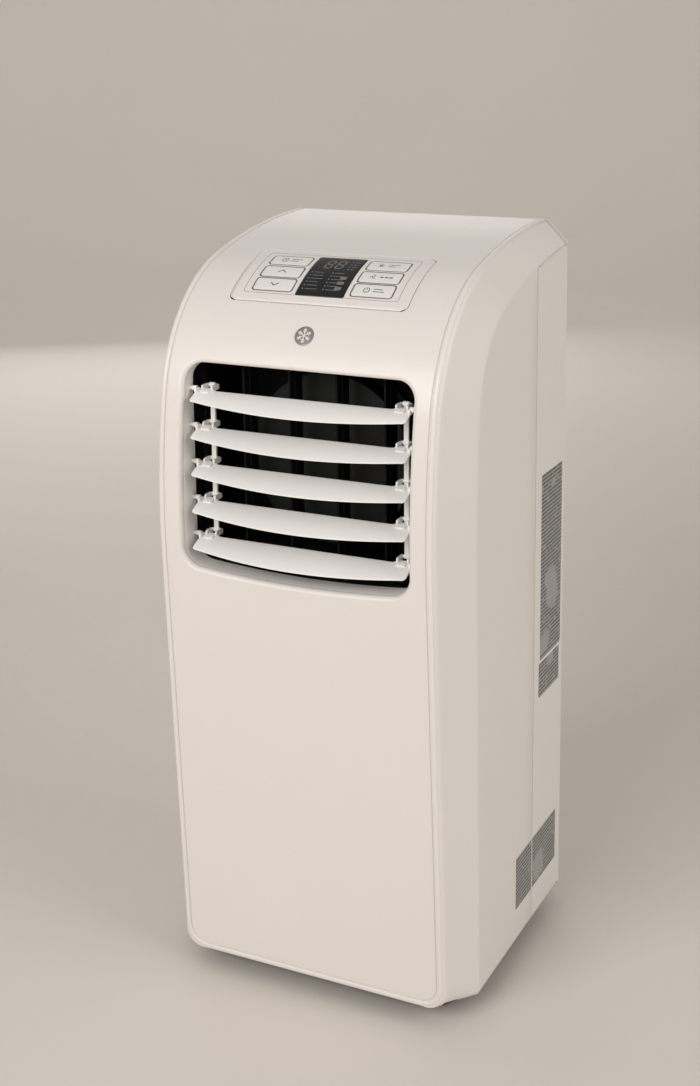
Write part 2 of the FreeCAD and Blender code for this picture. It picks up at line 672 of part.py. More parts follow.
def motor_bracket():
    """A ring on four legs that holds the fan motor behind the duct's inlet."""
    y0 = 18.0
    solids = [tube(44, 32.4, (0, y0, FAN_Z), (0, y0 + 3, FAN_Z))]
    for i in range(4):
        arm = box(40, 74, y0, y0 + 3, -5, 5)
        leg = box(68, 74, DUCT_BACK, y0 + 3, -5, 5)
        for piece in (arm, leg):
            piece.Placement = Placement(Vector(0, 0, FAN_Z), Rotation(Y, 45 + 90 * i))
            solids.append(piece)
    return fuse(solids)


def blower_scroll():
    """The snail housing of the hot-air blower, open to the front and ending at the round collar."""
    y0 = 42.0
    y1 = BACK_Y - 25.2
    wall = 2.2
    drum = rod(72, (BLOWER_X, y0, BLOWER_Z), (BLOWER_X, y1, BLOWER_Z))
    outlet = box(BLOWER_X, 137, y0, y1, BLOWER_Z - 70, BLOWER_Z + 72)
    space = rod(72 - wall, (BLOWER_X, y0 + wall, BLOWER_Z), (BLOWER_X, y1 - wall, BLOWER_Z))
    room = box(BLOWER_X, 137 - wall, y0 + wall, y1 - wall, BLOWER_Z - 70 + wall, BLOWER_Z + 72 - wall)
    eye = rod(46, (BLOWER_X, y0 - 1, BLOWER_Z), (BLOWER_X, y0 + wall + 1, BLOWER_Z))
    mouth_hole = rod(EXHAUST_R - 2, (EXHAUST_X, y1 - wall - 1, EXHAUST_Z), (EXHAUST_X, y1 + 1, EXHAUST_Z))
    shaft_hole = rod(14, (BLOWER_X, y1 - wall - 1, BLOWER_Z), (BLOWER_X, y1 + 1, BLOWER_Z))
    return cut(fuse([drum, outlet]), [fuse([space, room]), eye, mouth_hole, shaft_hole])


def coil(coil_box, rows):
    """A finned coil: upright fins on level tubes that are joined by return bends at the ends."""
    x1, y0, y1, z0, z1 = coil_box
    x0 = -x1
    solids = []
    for i in range(FINS):
        x = x0 + (x1 - x0 - 1.0) * i / (FINS - 1)
        solids.append(box(x, x + 1.0, y0, y1, z0, z1))
    pitch = (z1 - z0) / rows
    for i in range(rows):
        z = z0 + (i + 0.5) * pitch
        solids.append(rod(4.0, (x0 - 5, 0.5 * (y0 + y1), z), (x1 + 5, 0.5 * (y0 + y1), z)))
    for i in range(rows - 1):
        z = z0 + (i + 1.0) * pitch
        x = x1 + 5 if i % 2 == 0 else x0 - 5
        bend = Part.makeTorus(0.5 * pitch, 4.0, Vector(x, 0.5 * (y0 + y1), z), Y)
        half = box(0, 40, y0 - 5, y1 + 5, z - pitch, z + pitch)
        half.translate(Vector(x if i % 2 == 0 else x - 40, 0, 0))
        solids.append(bend.common(half))
    return fuse(solids)


def compressor():
    """An upright hermetic can with a domed top and a three-footed plate."""
    x, y = COMPRESSOR
    can = rod(47, (x, y, COMPRESSOR_LOW), (x, y, 188))
    dome = Part.makeSphere(74, Vector(x, y, 131)).common(rod(46.9, (x, y, 187), (x, y, 214)))
    feet = [box(-78, 78, -11, 11, 52, 55)]
    feet.append(box(-11, 11, -70, 70, 52, 55))
    for foot in feet:
        foot.translate(Vector(x, y, 0))
    plate = feet[0].common(box(x - 66, x + 66, y - 20, y + 20, 50, 60))
    terminal = rod(14, (x + 12, y - 8, 195), (x + 12, y - 8, 212))
    return fuse([can, dome, plate, feet[1].common(box(x - 20, x + 20, y - 62, y + 62, 50, 60)), terminal])


def compressor_grommets():
    """Rubber feet between the base pan and the compressor's plate."""
    x, y = COMPRESSOR
    places = ((x - 57, y), (x + 57, y), (x, y - 54), (x, y + 54))
    return Part.makeCompound([rod(8, (px, py, PAN_LOW + WALL), (px, py, COMPRESSOR_LOW)) for px, py in places])


def accumulator():
    """The suction bottle strapped to the compressor's side."""
    x = ACCUMULATOR_X
    y = COMPRESSOR[1]
    body = rod(17, (x, y, 84), (x, y, 176))
    strap = box(x - 30, x - 14, y - 6, y + 6, 120, 128).cut(rod(47.05, (COMPRESSOR[0], y, 100), (COMPRESSOR[0], y, 150)))
    return fuse([body, rod(5, (x, y, 174), (x, y, 196)), strap])


def bent_tube(radius, points, bend):
    """A round tube along straight runs joined by tangent arcs of one radius."""
    points = [Vector(*p) for p in points]
    edges = []
    last = points[0]
    for a, b, c in zip(points, points[1:], points[2:]):
        back = (a - b).normalize()
        ahead = (c - b).normalize()
        half = 0.5 * back.getAngle(ahead)
        reach = bend / math.tan(half)
        start = b + back * reach
        end = b + ahead * reach
        centre = b + (back + ahead).normalize() * (bend / math.sin(half))
        middle = centre + (b - centre).normalize() * bend
        edges.append(Part.LineSegment(last, start).toShape())
        edges.append(Part.Arc(start, middle, end).toShape())
        last = end
    edges.append(Part.LineSegment(last, points[-1]).toShape())
    path = Part.Wire(edges)
    disc = Part.Wire([Part.Circle(points[0], points[1] - points[0], radius).toShape()])
    return path.makePipeShell([disc], True, True)


def coil_row(coil_box, rows, row):
    """The free left-hand end of one level tube of a coil."""
    half, y0, y1, z0, z1 = coil_box
    return -half - 5.2, 0.5 * (y0 + y1), z0 + (row + 0.5) * (z1 - z0) / rows


def refrigerant_tubes():
    """Copper lines: compressor to condenser, condenser to evaporator, evaporator to accumulator."""
    x, y = COMPRESSOR
    hot_in = coil_row(CONDENSER, CONDENSER_ROWS, CONDENSER_ROWS - 1)
    cool_out = coil_row(CONDENSER, CONDENSER_ROWS, 0)
    feed = coil_row(EVAPORATOR, EVAPORATOR_ROWS, 0)
    back = coil_row(EVAPORATOR, EVAPORATOR_ROWS, EVAPORATOR_ROWS - 1)
    hot_level = 230
    hot = [(x - 22, y, 209), (x - 22, y, hot_level), (-138, y, hot_level), (-138, hot_in[1], hot_level)]
    hot += [(-138, hot_in[1], hot_in[2]), hot_in]
    liquid = [cool_out, (-134, cool_out[1], cool_out[2]), (-134, 122, cool_out[2]), (-134, 122, feed[2])]
    liquid += [(-134, feed[1], feed[2]), feed]
    cold_level = 250
    cold = [back, (-130, back[1], back[2]), (-130, 20, back[2]), (-130, 20, cold_level)]
    cold += [(ACCUMULATOR_X, 20, cold_level), (ACCUMULATOR_X, y, cold_level), (ACCUMULATOR_X, y, 196.2)]
    lines = [bent_tube(4.0, hot, 7), bent_tube(3.0, liquid, 5), bent_tube(4.8, cold, 6)]
    return Part.makeCompound(lines)


def divider_tray():
    """The condensate tray between the cold side and the hot side, with a hose spigot at the back."""
    z = TRAY_Z + 14
    slab = box(-146, 146, -110, 134, TRAY_Z, z).common(cabinet(WALL + 0.6))
    basin = box(-122, 143, 70, 131, TRAY_Z + 2.4, z + 6)
    relief = box(-143, 143, -97, 64, TRAY_Z - 1, z - 3)
    tray = cut(slab, [basin, relief.common(cabinet(WALL + 4.0))])
    boss = box(-128, -108, 128, 136.0, TRAY_Z + 2, z + 10)
    outlet = rod(SPIGOT_R, (-118, 130, z), (-118, BACK_Y + SPIGOT_REACH, z))
    holes = [rod(4.5, (-118, 125, z), (-118, BACK_Y + 20, z))]
    for x, y, radius in ((-134, 122, 3.6), (-130, 20, 5.6)):
        holes.append(rod(radius, (x, y, TRAY_Z - 5), (x, y, z + 5)))
    return cut(fuse([tray, outlet, boss]), holes)


def control_box():
    """The wiring box beside the duct, with its board inside."""
    walls = box(112, 143, -60, 50, 408, 560).cut(box(114, 146, -58, 48, 410, 558))
    return walls


def main_board():
    board = box(116, 117.6, -54, 44, 414, 552)
    relay = box(117.6, 132, -40, -18, 430, 450)
    choke = rod(12, (117.6, 20, 440), (130, 20, 440))
    cap = rod(11, (117.6, -10, 520), (138, -10, 520))
    posts = [rod(3, (114, y, z), (117, y, z)) for y in (-48, 38) for z in (420, 546)]
    return fuse([board, relay, choke, cap] + posts)


# ---- rear fittings and running gear ----

def drain_plug():
    """A rubber stopper that pulls straight out of the low drain hole."""
    x, z = DRAIN
    stem = rod(6.9, (x, BACK_Y - 10, z), (x, BACK_Y + 0.2, z))
    head = rod(10, (x, BACK_Y + 0.2, z), (x, BACK_Y + 3.4, z))
    tab = box(x - 2, x + 2, BACK_Y + 3, BACK_Y + 9, z - 5, z + 5)
    return fuse([stem, head, tab])


def cord_gland():
    """The rubber ring where a mains lead goes in."""
    x, z = GLAND
    ring = rod(9.0, (x, BACK_Y - 5, z), (x, BACK_Y + 4, z))
    collar = rod(12.5, (x, BACK_Y + 0.2, z), (x, BACK_Y + 3, z))
    nut = rod(13, (x, BACK_Y - 6, z), (x, BACK_Y - WALL - 0.2, z))
    return fuse([ring, collar, nut]).cut(rod(GLAND_BORE_R, (x, BACK_Y - 10, z), (x, BACK_Y + 10, z)))


def rear_screws():
    """Cross-head screws that hold the rear cover."""
    places = [(x, z) for x in (-138, 138) for z in (90, 240, 385, 520, 640)]
    screws = []
    for x, z in places:
        head = rod(4.2, (x, BACK_Y + 0.05, z), (x, BACK_Y + 2.2, z))
        slot = box(x - 2.4, x + 2.4, BACK_Y + 1, BACK_Y + 3, z - 0.5, z + 0.5)
        cross = box(x - 0.5, x + 0.5, BACK_Y + 1, BACK_Y + 3, z - 2.4, z + 2.4)
        screws.append(cut(head, [slot, cross]))
    return Part.makeCompound(screws)


def caster_places():
    return [(sx * CASTER_X, y) for y in CASTER_Y for sx in (-1, 1)]


def caster_fork(x, y):
    """A swivel fork: a stem in the base pan's boss, a crown plate, two cheeks and the wheel's axle."""
    cheek = 0.5 * CASTER_W + 0.6
    wheel_y = CASTER_TRAIL
    solids = [rod(STEM_R, (0, 0, 33), (0, 0, POCKET_TOP + 15))]
    solids.append(box(-cheek - 2, cheek + 2, -7, wheel_y + 7, CASTER_R * 2 + 1.6, CASTER_R * 2 + 4.6))
    for sign in (-1, 1):
        side = box(-1, 1, -5, 5, CASTER_R - 4, CASTER_R * 2 + 2)
        side.translate(Vector(sign * (cheek + 1), wheel_y, 0))
        solids.append(side)
    solids.append(rod(2.5, (-cheek - 2, wheel_y, CASTER_R), (cheek + 2, wheel_y, CASTER_R)))
    fork = fuse(solids)
    fork.translate(Vector(x, y, 0))
    return fork


def caster_wheel(x, y):
    half = 0.5 * CASTER_W
    centre = (x, y + CASTER_TRAIL, CASTER_R)
    wheel = rod(CASTER_R, (centre[0] - half, centre[1], centre[2]), (centre[0] + half, centre[1], centre[2]))
    wheel = wheel.makeFillet(2.0, [edge for edge in wheel.Edges if isinstance(edge.Curve, Part.Circle)])
    bore = rod(2.5 + RUNNING, (centre[0] - 20, centre[1], centre[2]), (centre[0] + 20, centre[1], centre[2]))
    return wheel.cut(bore)


def build():
    shell = cabinet(0.0).cut(Part.makeCompound([cabinet(WALL), foot_cutter()]))
    strips = {-1: seam_strip(-1, 0.5), 1: seam_strip(1, 0.5)}
    raised = cabinet(-KEY_PROUD).cut(cabinet(KEY_DEPTH))
    parts = {
        "front_panel": front_panel(shell),
        "side_panel_left": side_panel(shell, -1, strips[-1]),
        "side_panel_right": side_panel(shell, 1, strips[1]),
        "rear_cover": rear_cover(shell),
        "rear_grip": rear_grip(),
        "base_pan": base_pan(),
        "intake_grille": intake_grille(),
        "intake_filter": intake_filter(),
        "lower_grille": lower_grille(),
        "exhaust_collar": exhaust_collar(),
        "louvre_frame": louvre_frame(),
        "air_duct": air_duct(),
        "divider_tray": divider_tray(),
        "link_rod_left": link_rod(-1),
        "link_rod_right": link_rod(1),
        "deflector_link": deflector_link(),
        "control_plate": control_plate(shell),
        "display_window": display_window(shell),
        "display_board": display_board(),
        "badge": badge(),
        "fan_wheel": fan_wheel(),
        "fan_motor": fan_motor(),
        "fan_bracket": motor_bracket(),
        "blower_scroll": blower_scroll(),
        "blower_wheel": blower_wheel(),
        "blower_motor": blower_motor(),
        "compressor": compressor(),
        "compressor_grommets": compressor_grommets(),
        "accumulator": accumulator(),
        "refrigerant_tubes": refrigerant_tubes(),
        "evaporator_coil": coil(EVAPORATOR, EVAPORATOR_ROWS),
        "condenser_coil": coil(CONDENSER, CONDENSER_ROWS),
        "control_box": control_box(),
        "main_board": main_board(),
        "drain_plug": drain_plug(),
        "cord_gland": cord_gland(),
        "rear_screws": rear_screws(),
    }
    for name, (x, s) in key_places().items():
        parts[name] = key(x, s, raised)
    for i in range(VANES):
        parts["vane_%d" % (i + 1)] = vane(i)
    for i in range(DEFLECTORS):
        parts["deflector_%d" % (i + 1)] = deflector(i)
    for i, (x, y) in enumerate(caster_places()):
        parts["caster_fork_%d" % (i + 1)] = caster_fork(x, y)
        parts["caster_wheel_%d" % (i + 1)] = caster_wheel(x, y)
    return parts


os.makedirs("parts", exist_ok=True)
for node, shape in build().items():
    shape.translate(Vector(0, -CENTRE_Y, 0))
    assert shape.isValid() and shape.Volume > 1.0, node
    shape.exportStep("parts/%s.step" % node)
    print("%-20s solids %2d volume %.0f" % (node, len(shape.Solids), shape.Volume))
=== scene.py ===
import json
import math

import bmesh
import bpy
import numpy as np
from mathutils import Matrix, Vector

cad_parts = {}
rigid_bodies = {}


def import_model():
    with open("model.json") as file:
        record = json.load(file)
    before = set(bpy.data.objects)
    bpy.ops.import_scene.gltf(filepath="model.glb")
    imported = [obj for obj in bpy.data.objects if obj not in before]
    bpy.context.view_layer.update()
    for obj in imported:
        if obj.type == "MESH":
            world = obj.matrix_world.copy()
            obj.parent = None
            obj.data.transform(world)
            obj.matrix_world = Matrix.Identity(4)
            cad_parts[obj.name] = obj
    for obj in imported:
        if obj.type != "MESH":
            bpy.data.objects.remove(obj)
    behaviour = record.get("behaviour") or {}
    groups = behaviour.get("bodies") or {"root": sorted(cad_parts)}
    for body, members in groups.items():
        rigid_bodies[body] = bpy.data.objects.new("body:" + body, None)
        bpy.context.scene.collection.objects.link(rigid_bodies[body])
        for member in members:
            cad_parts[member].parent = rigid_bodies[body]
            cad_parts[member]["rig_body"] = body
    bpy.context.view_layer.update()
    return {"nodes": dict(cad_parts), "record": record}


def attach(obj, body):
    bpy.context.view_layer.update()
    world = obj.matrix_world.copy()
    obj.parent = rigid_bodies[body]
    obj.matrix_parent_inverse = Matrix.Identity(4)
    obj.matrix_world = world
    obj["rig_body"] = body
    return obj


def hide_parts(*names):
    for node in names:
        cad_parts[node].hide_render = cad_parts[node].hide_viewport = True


# Looks for the portable air conditioner. Lengths here are millimetres in the casing's own place,
# which lies CENTRE_Y in front of the model's frame; place() turns them into the frame's metres.

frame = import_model()
NODES = frame["nodes"]
SLOT_OF = {part["node"]: part["material_slot"] for part in frame["record"]["subparts"]}

# ---- casing, as in the part's source ----
CENTRE_Y = 4.6
FLOOR_GAP = 18.0
HALF_WIDTH = 151.4
RIM_X = 131.8
RIM_WIDTH = 5.4
SEAM_Y = 57.9
TOP_END_Y = 136.1
CORNER_R = 17.0
FRONT = ((-116.4, FLOOR_GAP), -3.285, 393.35, ((673.0, 9.5), (140.0, 74.7), (639.0, 90.0)))
SIDE = ((-78.3, FLOOR_GAP), -1.39, 405.1, ((1040.0, 6.1), (98.0, 70.0), (602.0, 85.4)))

# ---- louvre opening ----
MOUTH_HALF = 110.0
MOUTH_TOP = 588.6
MOUTH_LOW = 407.6
MOUTH_BOW = 6.2
MOUTH_R = 17.0
MOUTH_ROLL = 4.4
WALL_END = -112.5
MOUTH_BACK = -97.0
VANE_TOP_Z = 564.1
VANE_PITCH = 33.4
VANE_DROP = 3.0
VANE_PIVOT_Y = -117.0
VANE_HALF = 104.0
VANE_TILT = math.radians(23.6)

# ---- control panel ----
PANEL_HALF = 86.5
PANEL_S = (636.0, 715.0)
PANEL_R = 7.0
DISPLAY_HALF = 23.3
DISPLAY_S = (646.0, 704.6)
KEY_HALF = (19.5, 7.75)
KEY_R = 2.6
KEY_X = 48.0
KEY_ROWS = (694.0, 675.0, 657.0)
KEY_PROUD = 0.6
KEY_WELL = 3.2
BADGE_S = 605.0


# ---------------------------------------------------------------- placing and meshing

def place(x, y, z):
    """Casing millimetres to the frame's metres."""
    x, y, z = np.broadcast_arrays(x, y, z)
    return np.stack([x, y - CENTRE_Y, z], axis=-1).astype(float) * 0.001


def placed(points):
    """place() for an array of points."""
    return place(points[..., 0], points[..., 1], points[..., 2])


def front_line(s):
    """Depth, height and heading of the front profile, a straight run and its tangent arcs, at arc length s."""
    start, lean, run, arcs = FRONT
    s = np.asarray(s, float)
    heading = math.radians(lean)
    step = np.minimum(s, run)
    y = start[0] + step * math.sin(heading)
    z = start[1] + step * math.cos(heading)
    turned = np.full(s.shape, heading)
    left = s - run
    for radius, end in arcs:
        end = math.radians(end)
        turn = np.clip(left / radius, 0.0, end - heading)
        y = y + radius * (math.cos(heading) - np.cos(heading + turn))
        z = z + radius * (np.sin(heading + turn) - math.sin(heading))
        turned = turned + turn
        left = left - radius * (end - heading)
        heading = end
    return y, z, turned


S_TABLE = np.linspace(-8.0, 872.0, 6000)
Z_TABLE = front_line(S_TABLE)[1]


def s_of_z(z):
    return np.interp(z, Z_TABLE, S_TABLE)


def on_face(x, s, out):
    """A place on the front face at (x, s), out millimetres proud of it along its own normal."""
    x, s, out = np.broadcast_arrays(x, s, out)
    y, z, heading = front_line(s)
    return place(x, y - out * np.cos(heading), z + out * np.sin(heading))


def on_flank(y, z, out):
    """A place on the right flank, out millimetres proud of it."""
    y, z, out = np.broadcast_arrays(y, z, out)
    return place(HALF_WIDTH + out, y, z)


def grid(points, wrap=False, outward=None):
    """Quads over a grid of points (rows, columns, 3). wrap closes each row; outward turns the faces that way."""
    points = np.asarray(points, float)
    rows, cols = points.shape[:2]
    index = np.arange(rows * cols).reshape(rows, cols)
    if wrap:
        index = np.concatenate([index, index[:, :1]], axis=1)
    corners = [index[:-1, :-1], index[:-1, 1:], index[1:, 1:], index[1:, :-1]]
    quads = np.stack(corners, axis=-1).reshape(-1, 4)
    verts = points.reshape(-1, 3)
    if outward is not None:
        a, b, c, d = (verts[quads[:, i]] for i in range(4))
        normal = np.cross(c - a, d - b)
        if (normal * np.asarray(outward, float)).sum() < 0:
            quads = quads[:, ::-1]
    return verts, quads


def piece(name, grids, body, slot, closed=True, weld=4e-6, sharp=35, replaces=()):
    """One mesh object from grids, with doubles merged and needle faces cleared, riding on a CAD body."""
    verts, quads, count = [], [], 0
    for v, q in grids:
        verts.append(v)
        quads.append(q + count)
        count += len(v)
    verts, quads = np.concatenate(verts), np.concatenate(quads)
    mesh = bpy.data.meshes.new(name)
    mesh.vertices.add(len(verts))
    mesh.vertices.foreach_set("co", verts.astype(np.float32).ravel())
    mesh.loops.add(quads.size)
    mesh.loops.foreach_set("vertex_index", quads.astype(np.int32).ravel())
    mesh.polygons.add(len(quads))
    mesh.polygons.foreach_set("loop_start", np.arange(0, quads.size, 4, dtype=np.int32))
    mesh.update(calc_edges=True)
    mesh.validate()
    work = bmesh.new()
    work.from_mesh(mesh)
    bmesh.ops.remove_doubles(work, verts=work.verts, dist=weld)
    bmesh.ops.dissolve_degenerate(work, edges=work.edges, dist=weld)
    if closed:
        bmesh.ops.recalc_face_normals(work, faces=work.faces)
    work.to_mesh(mesh)
    work.free()
    finish_mesh(mesh, sharp)
    return seat(bpy.data.objects.new(name, mesh), body, slot, replaces)


def finish_mesh(mesh, sharp):
    mesh.polygons.foreach_set("use_smooth", np.ones(len(mesh.polygons), dtype=bool))
    mesh.set_sharp_from_angle(angle=math.radians(sharp))


def seat(obj, body, slot, replaces=()):
    """Links a finished piece, gives it its slot's material and rides it on its body."""
    bpy.context.scene.collection.objects.link(obj)
    obj.data.materials.clear()
    obj.data.materials.append(MATERIALS[slot])
    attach(obj, body)
    if replaces:
        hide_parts(*replaces)
    return obj


def body_of_node(node):
    return NODES[node]["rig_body"]


def softened(node, width):
    """A CAD node's own mesh with its facets merged and its edges rounded off by a Bevel."""
    flat, angle = math.radians(0.4), math.radians(32)
    mesh = NODES[node].data.copy()
    mesh.name = node + "_soft"
    work = bmesh.new()
    work.from_mesh(mesh)
    bmesh.ops.remove_doubles(work, verts=work.verts, dist=2e-6)
    bmesh.ops.dissolve_limit(work, angle_limit=flat, verts=work.verts, edges=work.edges)
    work.to_mesh(mesh)
    work.free()
    finish_mesh(mesh, 32)
    obj = bpy.data.objects.new(node + "_soft", mesh)
    bevel = obj.modifiers.new("rounded_edges", "BEVEL")
    bevel.width = width * 0.001
    bevel.segments = 2
    bevel.limit_method = "ANGLE"
    bevel.angle_limit = angle
    bevel.use_clamp_overlap = True
    bevel.harden_normals = False
    even = obj.modifiers.new("even_shading", "WEIGHTED_NORMAL")
    even.keep_sharp = False
    return seat(obj, body_of_node(node), SLOT_OF[node], (node,))


def thick(obj, wall):
    """Gives an open skin its wall, grown inwards."""
    solid = obj.modifiers.new("wall", "SOLIDIFY")
    solid.thickness = wall * 0.001
    solid.offset = -1.0
    solid.use_even_offset = False


# ---------------------------------------------------------------- outlines and small solids

def rounded_outline(half_a, half_b, corner, per_side=6, per_corner=6):
    """A rectangle with round corners: its points and outward normals, run round once without repeating."""
    side = np.linspace(-1.0, 1.0, per_side + 1)[:-1]
    turn = np.linspace(0.0, 0.5 * math.pi, per_corner + 1)[:-1]
    points, normals = [], []
    for quarter in range(4):
        a, b = (half_a, half_b) if quarter % 2 == 0 else (half_b, half_a)
        run = np.stack([np.full(side.shape, a), side * (b - corner)], axis=-1)
        arc = np.stack([a - corner + corner * np.cos(turn), b - corner + corner * np.sin(turn)], axis=-1)
        run_n = np.tile([1.0, 0.0], (len(side), 1))
        arc_n = np.stack([np.cos(turn), np.sin(turn)], axis=-1)
        c, s = (1, 0, -1, 0)[quarter], (0, 1, 0, -1)[quarter]
        spin = np.array([[c, s], [-s, c]], float)
        points += [run @ spin, arc @ spin]
        normals += [run_n @ spin, arc_n @ spin]
    return np.concatenate(points), np.concatenate(normals)


def pad(to_place, centre, half, corner, top, foot, edge=0.4, crown=0.0, rings=5, per_side=6, per_corner=5):
    """A closed pad with round corners: rings spread from its middle, roll over the edge, go down and close below.
    crown lifts the middle above the edge in a shallow dome."""
    line, normal = rounded_outline(half[0], half[1], corner, per_side, per_corner)
    inner = line - normal * edge
    rows = []
    for share in np.linspace(0.0, 1.0, rings + 1):
        rows.append((inner * share, top + crown * (1.0 - share ** 2)))
    for angle in np.linspace(0.0, 0.5 * math.pi, 4)[1:]:
        rows.append((line - normal * edge * (1.0 - math.sin(angle)), top - edge * (1.0 - math.cos(angle))))
    rows += [(line * share, foot) for share in (1.0, 0.5, 0.0)]
    flat = np.stack([r[0] for r in rows]) + np.asarray(centre, float)
    height = np.stack([np.full(len(line), r[1]) for r in rows])
    return grid(to_place(flat[..., 0], flat[..., 1], height), wrap=True)


def ring_band(to_place, centre, half, corner, inner, outer, top, foot, per_side=8, per_corner=6):
    """A flat painted or raised line that follows a rounded outline, from offset inner to offset outer."""
    line, normal = rounded_outline(half[0], half[1], corner, per_side, per_corner)
    section = ((inner, foot), (inner, top), (outer, top), (outer, foot), (inner, foot))
    flat = np.stack([line + normal * e for e, _ in section]) + np.asarray(centre, float)
    height = np.stack([np.full(len(line), h) for _, h in section])
    return grid(to_place(flat[..., 0], flat[..., 1], height), wrap=True)


def stroke(to_place, points, width, top, foot=-0.1, steps=1):
    """A flat line of even width along points, with pointed-round ends. Its left and right edges are the path
    moved along its own normals, and its section is a low closed box."""
    points = np.asarray(points, float)
    if steps > 1:
        at = np.linspace(0, len(points) - 1, (len(points) - 1) * steps + 1)
        points = np.stack([np.interp(at, np.arange(len(points)), points[:, i]) for i in (0, 1)], axis=-1)
    ahead = np.roll(points, -1, axis=0) - points
    behind = points - np.roll(points, 1, axis=0)
    ahead[-1] = behind[-1]
    behind[0] = ahead[0]
    ahead /= np.linalg.norm(ahead, axis=1, keepdims=True)
    behind /= np.linalg.norm(behind, axis=1, keepdims=True)
    tangent = ahead + behind
    tangent /= np.linalg.norm(tangent, axis=1, keepdims=True)
    mitre = 1.0 / np.maximum(0.4, (tangent * ahead).sum(axis=1, keepdims=True))
    normal = np.stack([-tangent[:, 1], tangent[:, 0]], axis=-1) * mitre
    half = 0.5 * width
    section = ((-half, foot), (-half, top), (half, top), (half, foot), (-half, foot))
    tip = tangent * half * 0.8
    first, last = points[:1] - tip[:1], points[-1:] + tip[-1:]
    mid = [foot + 0.5 * (top - foot)]
    flat = np.stack([np.concatenate([first, points + normal * e, last]) for e, _ in section])
    height = np.stack([np.concatenate([mid, np.full(len(points), h), mid]) for _, h in section])
    return grid(to_place(flat[..., 0], flat[..., 1], height))


def arc_points(centre, radius, start, end, steps=16):
    turn = np.radians(np.linspace(start, end, steps + 1))
    return np.stack([centre[0] + radius * np.sin(turn), centre[1] + radius * np.cos(turn)], axis=-1)


PEG_SIDES = 24                                # facets round a turned pin


def turned(axis_start, axis_end, profile):
    """A surface of revolution from pairs of distance along the axis and radius, closed at both ends."""
    start, end = np.asarray(axis_start, float), np.asarray(axis_end, float)
    along = (end - start) / np.linalg.norm(end - start)
    side = np.cross(along, [0.0, 0.0, 1.0] if abs(along[2]) < 0.9 else [1.0, 0.0, 0.0])
    side /= np.linalg.norm(side)
    up = np.cross(side, along)
    angle = np.linspace(0.0, 2 * math.pi, PEG_SIDES, endpoint=False)
    profile = np.asarray(profile, float)
    ring = np.cos(angle)[:, None] * side + np.sin(angle)[:, None] * up
    points = start + profile[:, None, :1] * along + profile[:, None, 1:] * ring
    return grid(placed(points), wrap=True)


def peg(start, end, radius, edge=0.4):
    """A round pin with softened ends."""
    length = float(np.linalg.norm(np.asarray(end, float) - np.asarray(start, float)))
    turn = np.linspace(0.0, 0.5 * math.pi, 4)
    first = [(edge * (1 - math.cos(t)), radius - edge + edge * math.sin(t)) for t in turn]
    last = [(length - a, r) for a, r in first[::-1]]
    return turned(start, end, [(0.0, 0.0)] + first + last + [(length, 0.0)])


def bar(low, high, edge=0.6, power=6.0, around=24):
    """A block with soft edges: a superellipse section carried along x, drawn in at both ends."""
    low, high = np.asarray(low, float), np.asarray(high, float)
    middle, half = 0.5 * (low + high), 0.5 * (high - low)
    angle = np.linspace(0.0, 2 * math.pi, around, endpoint=False) + math.pi / around
    c, s = np.cos(angle), np.sin(angle)
    y = np.sign(c) * np.abs(c) ** (2 / power)
    z = np.sign(s) * np.abs(s) ** (2 / power)
    turn = np.linspace(0.0, 0.5 * math.pi, 4)
    shift, cut = edge * (1 - np.sin(turn)), edge * (1 - np.cos(turn))
    xs = np.concatenate([[-half[0]], -half[0] + shift[::-1], half[0] - shift, [half[0]]])
    inset = np.concatenate([cut[::-1], cut])
    wide, high = (np.concatenate([[0.0], reach - inset, [0.0]]) for reach in half[1:])
    rows = [np.stack([np.full(around, x), y * a, z * b], axis=-1) for x, a, b in zip(xs, wide, high)]
    points = np.stack(rows) + middle
    return grid(placed(points), wrap=True)


# ---------------------------------------------------------------- materials

def tree_of(name):
    material = bpy.data.materials.new(name)
    material.use_nodes = True
    tree = material.node_tree
    tree.nodes.clear()
    out = tree.nodes.new("ShaderNodeOutputMaterial")
    shader = tree.nodes.new("ShaderNodeBsdfPrincipled")
    tree.links.new(shader.outputs["BSDF"], out.inputs["Surface"])
    return material, tree, shader


def feed(tree, node, values):
    """Sets a node's inputs by name or number: links what comes from another node, writes plain values."""
    for key, value in values.items():
        if isinstance(value, bpy.types.NodeSocket):
            tree.links.new(value, node.inputs[key])
        else:
            node.inputs[key].default_value = value


def fed_node(tree, kind, **values):
    """Adds a node of a kind with its named inputs fed."""
    node = tree.nodes.new(kind)
    feed(tree, node, values)
    return node


def new_group(name, inputs, outputs):
    group = bpy.data.node_groups.new(name, "ShaderNodeTree")
    for label, kind, value in inputs:
        socket = group.interface.new_socket(name=label, in_out="INPUT", socket_type=kind)
        socket.default_value = value
    for label, kind in outputs:
        group.interface.new_socket(name=label, in_out="OUTPUT", socket_type=kind)
    return group, group.nodes.new("NodeGroupInput"), group.nodes.new("NodeGroupOutput")


def math_node(tree, operation, a, b=None, clamp=False):
    node = tree.nodes.new("ShaderNodeMath")
    node.operation = operation
    node.use_clamp = clamp
    feed(tree, node, {i: value for i, value in enumerate((a, b)) if value is not None})
    return node.outputs[0]


def weighted(tree, a, share_a, b, share_b):
    a, b = math_node(tree, "MULTIPLY", a, share_a), math_node(tree, "MULTIPLY", b, share_b)
    return math_node(tree, "ADD", a, b)


def mix_colour(tree, share, a, b):
    node = tree.nodes.new("ShaderNodeMix")
    node.data_type = "RGBA"
    feed(tree, node, {0: share, 6: a, 7: b})
    return node.outputs[2]


def noise(tree, vector, scale, detail=3.0, rough=0.55):
    node = fed_node(tree, "ShaderNodeTexNoise", Vector=vector, Scale=scale, Detail=detail, Roughness=rough)
    return node.outputs["Fac"]


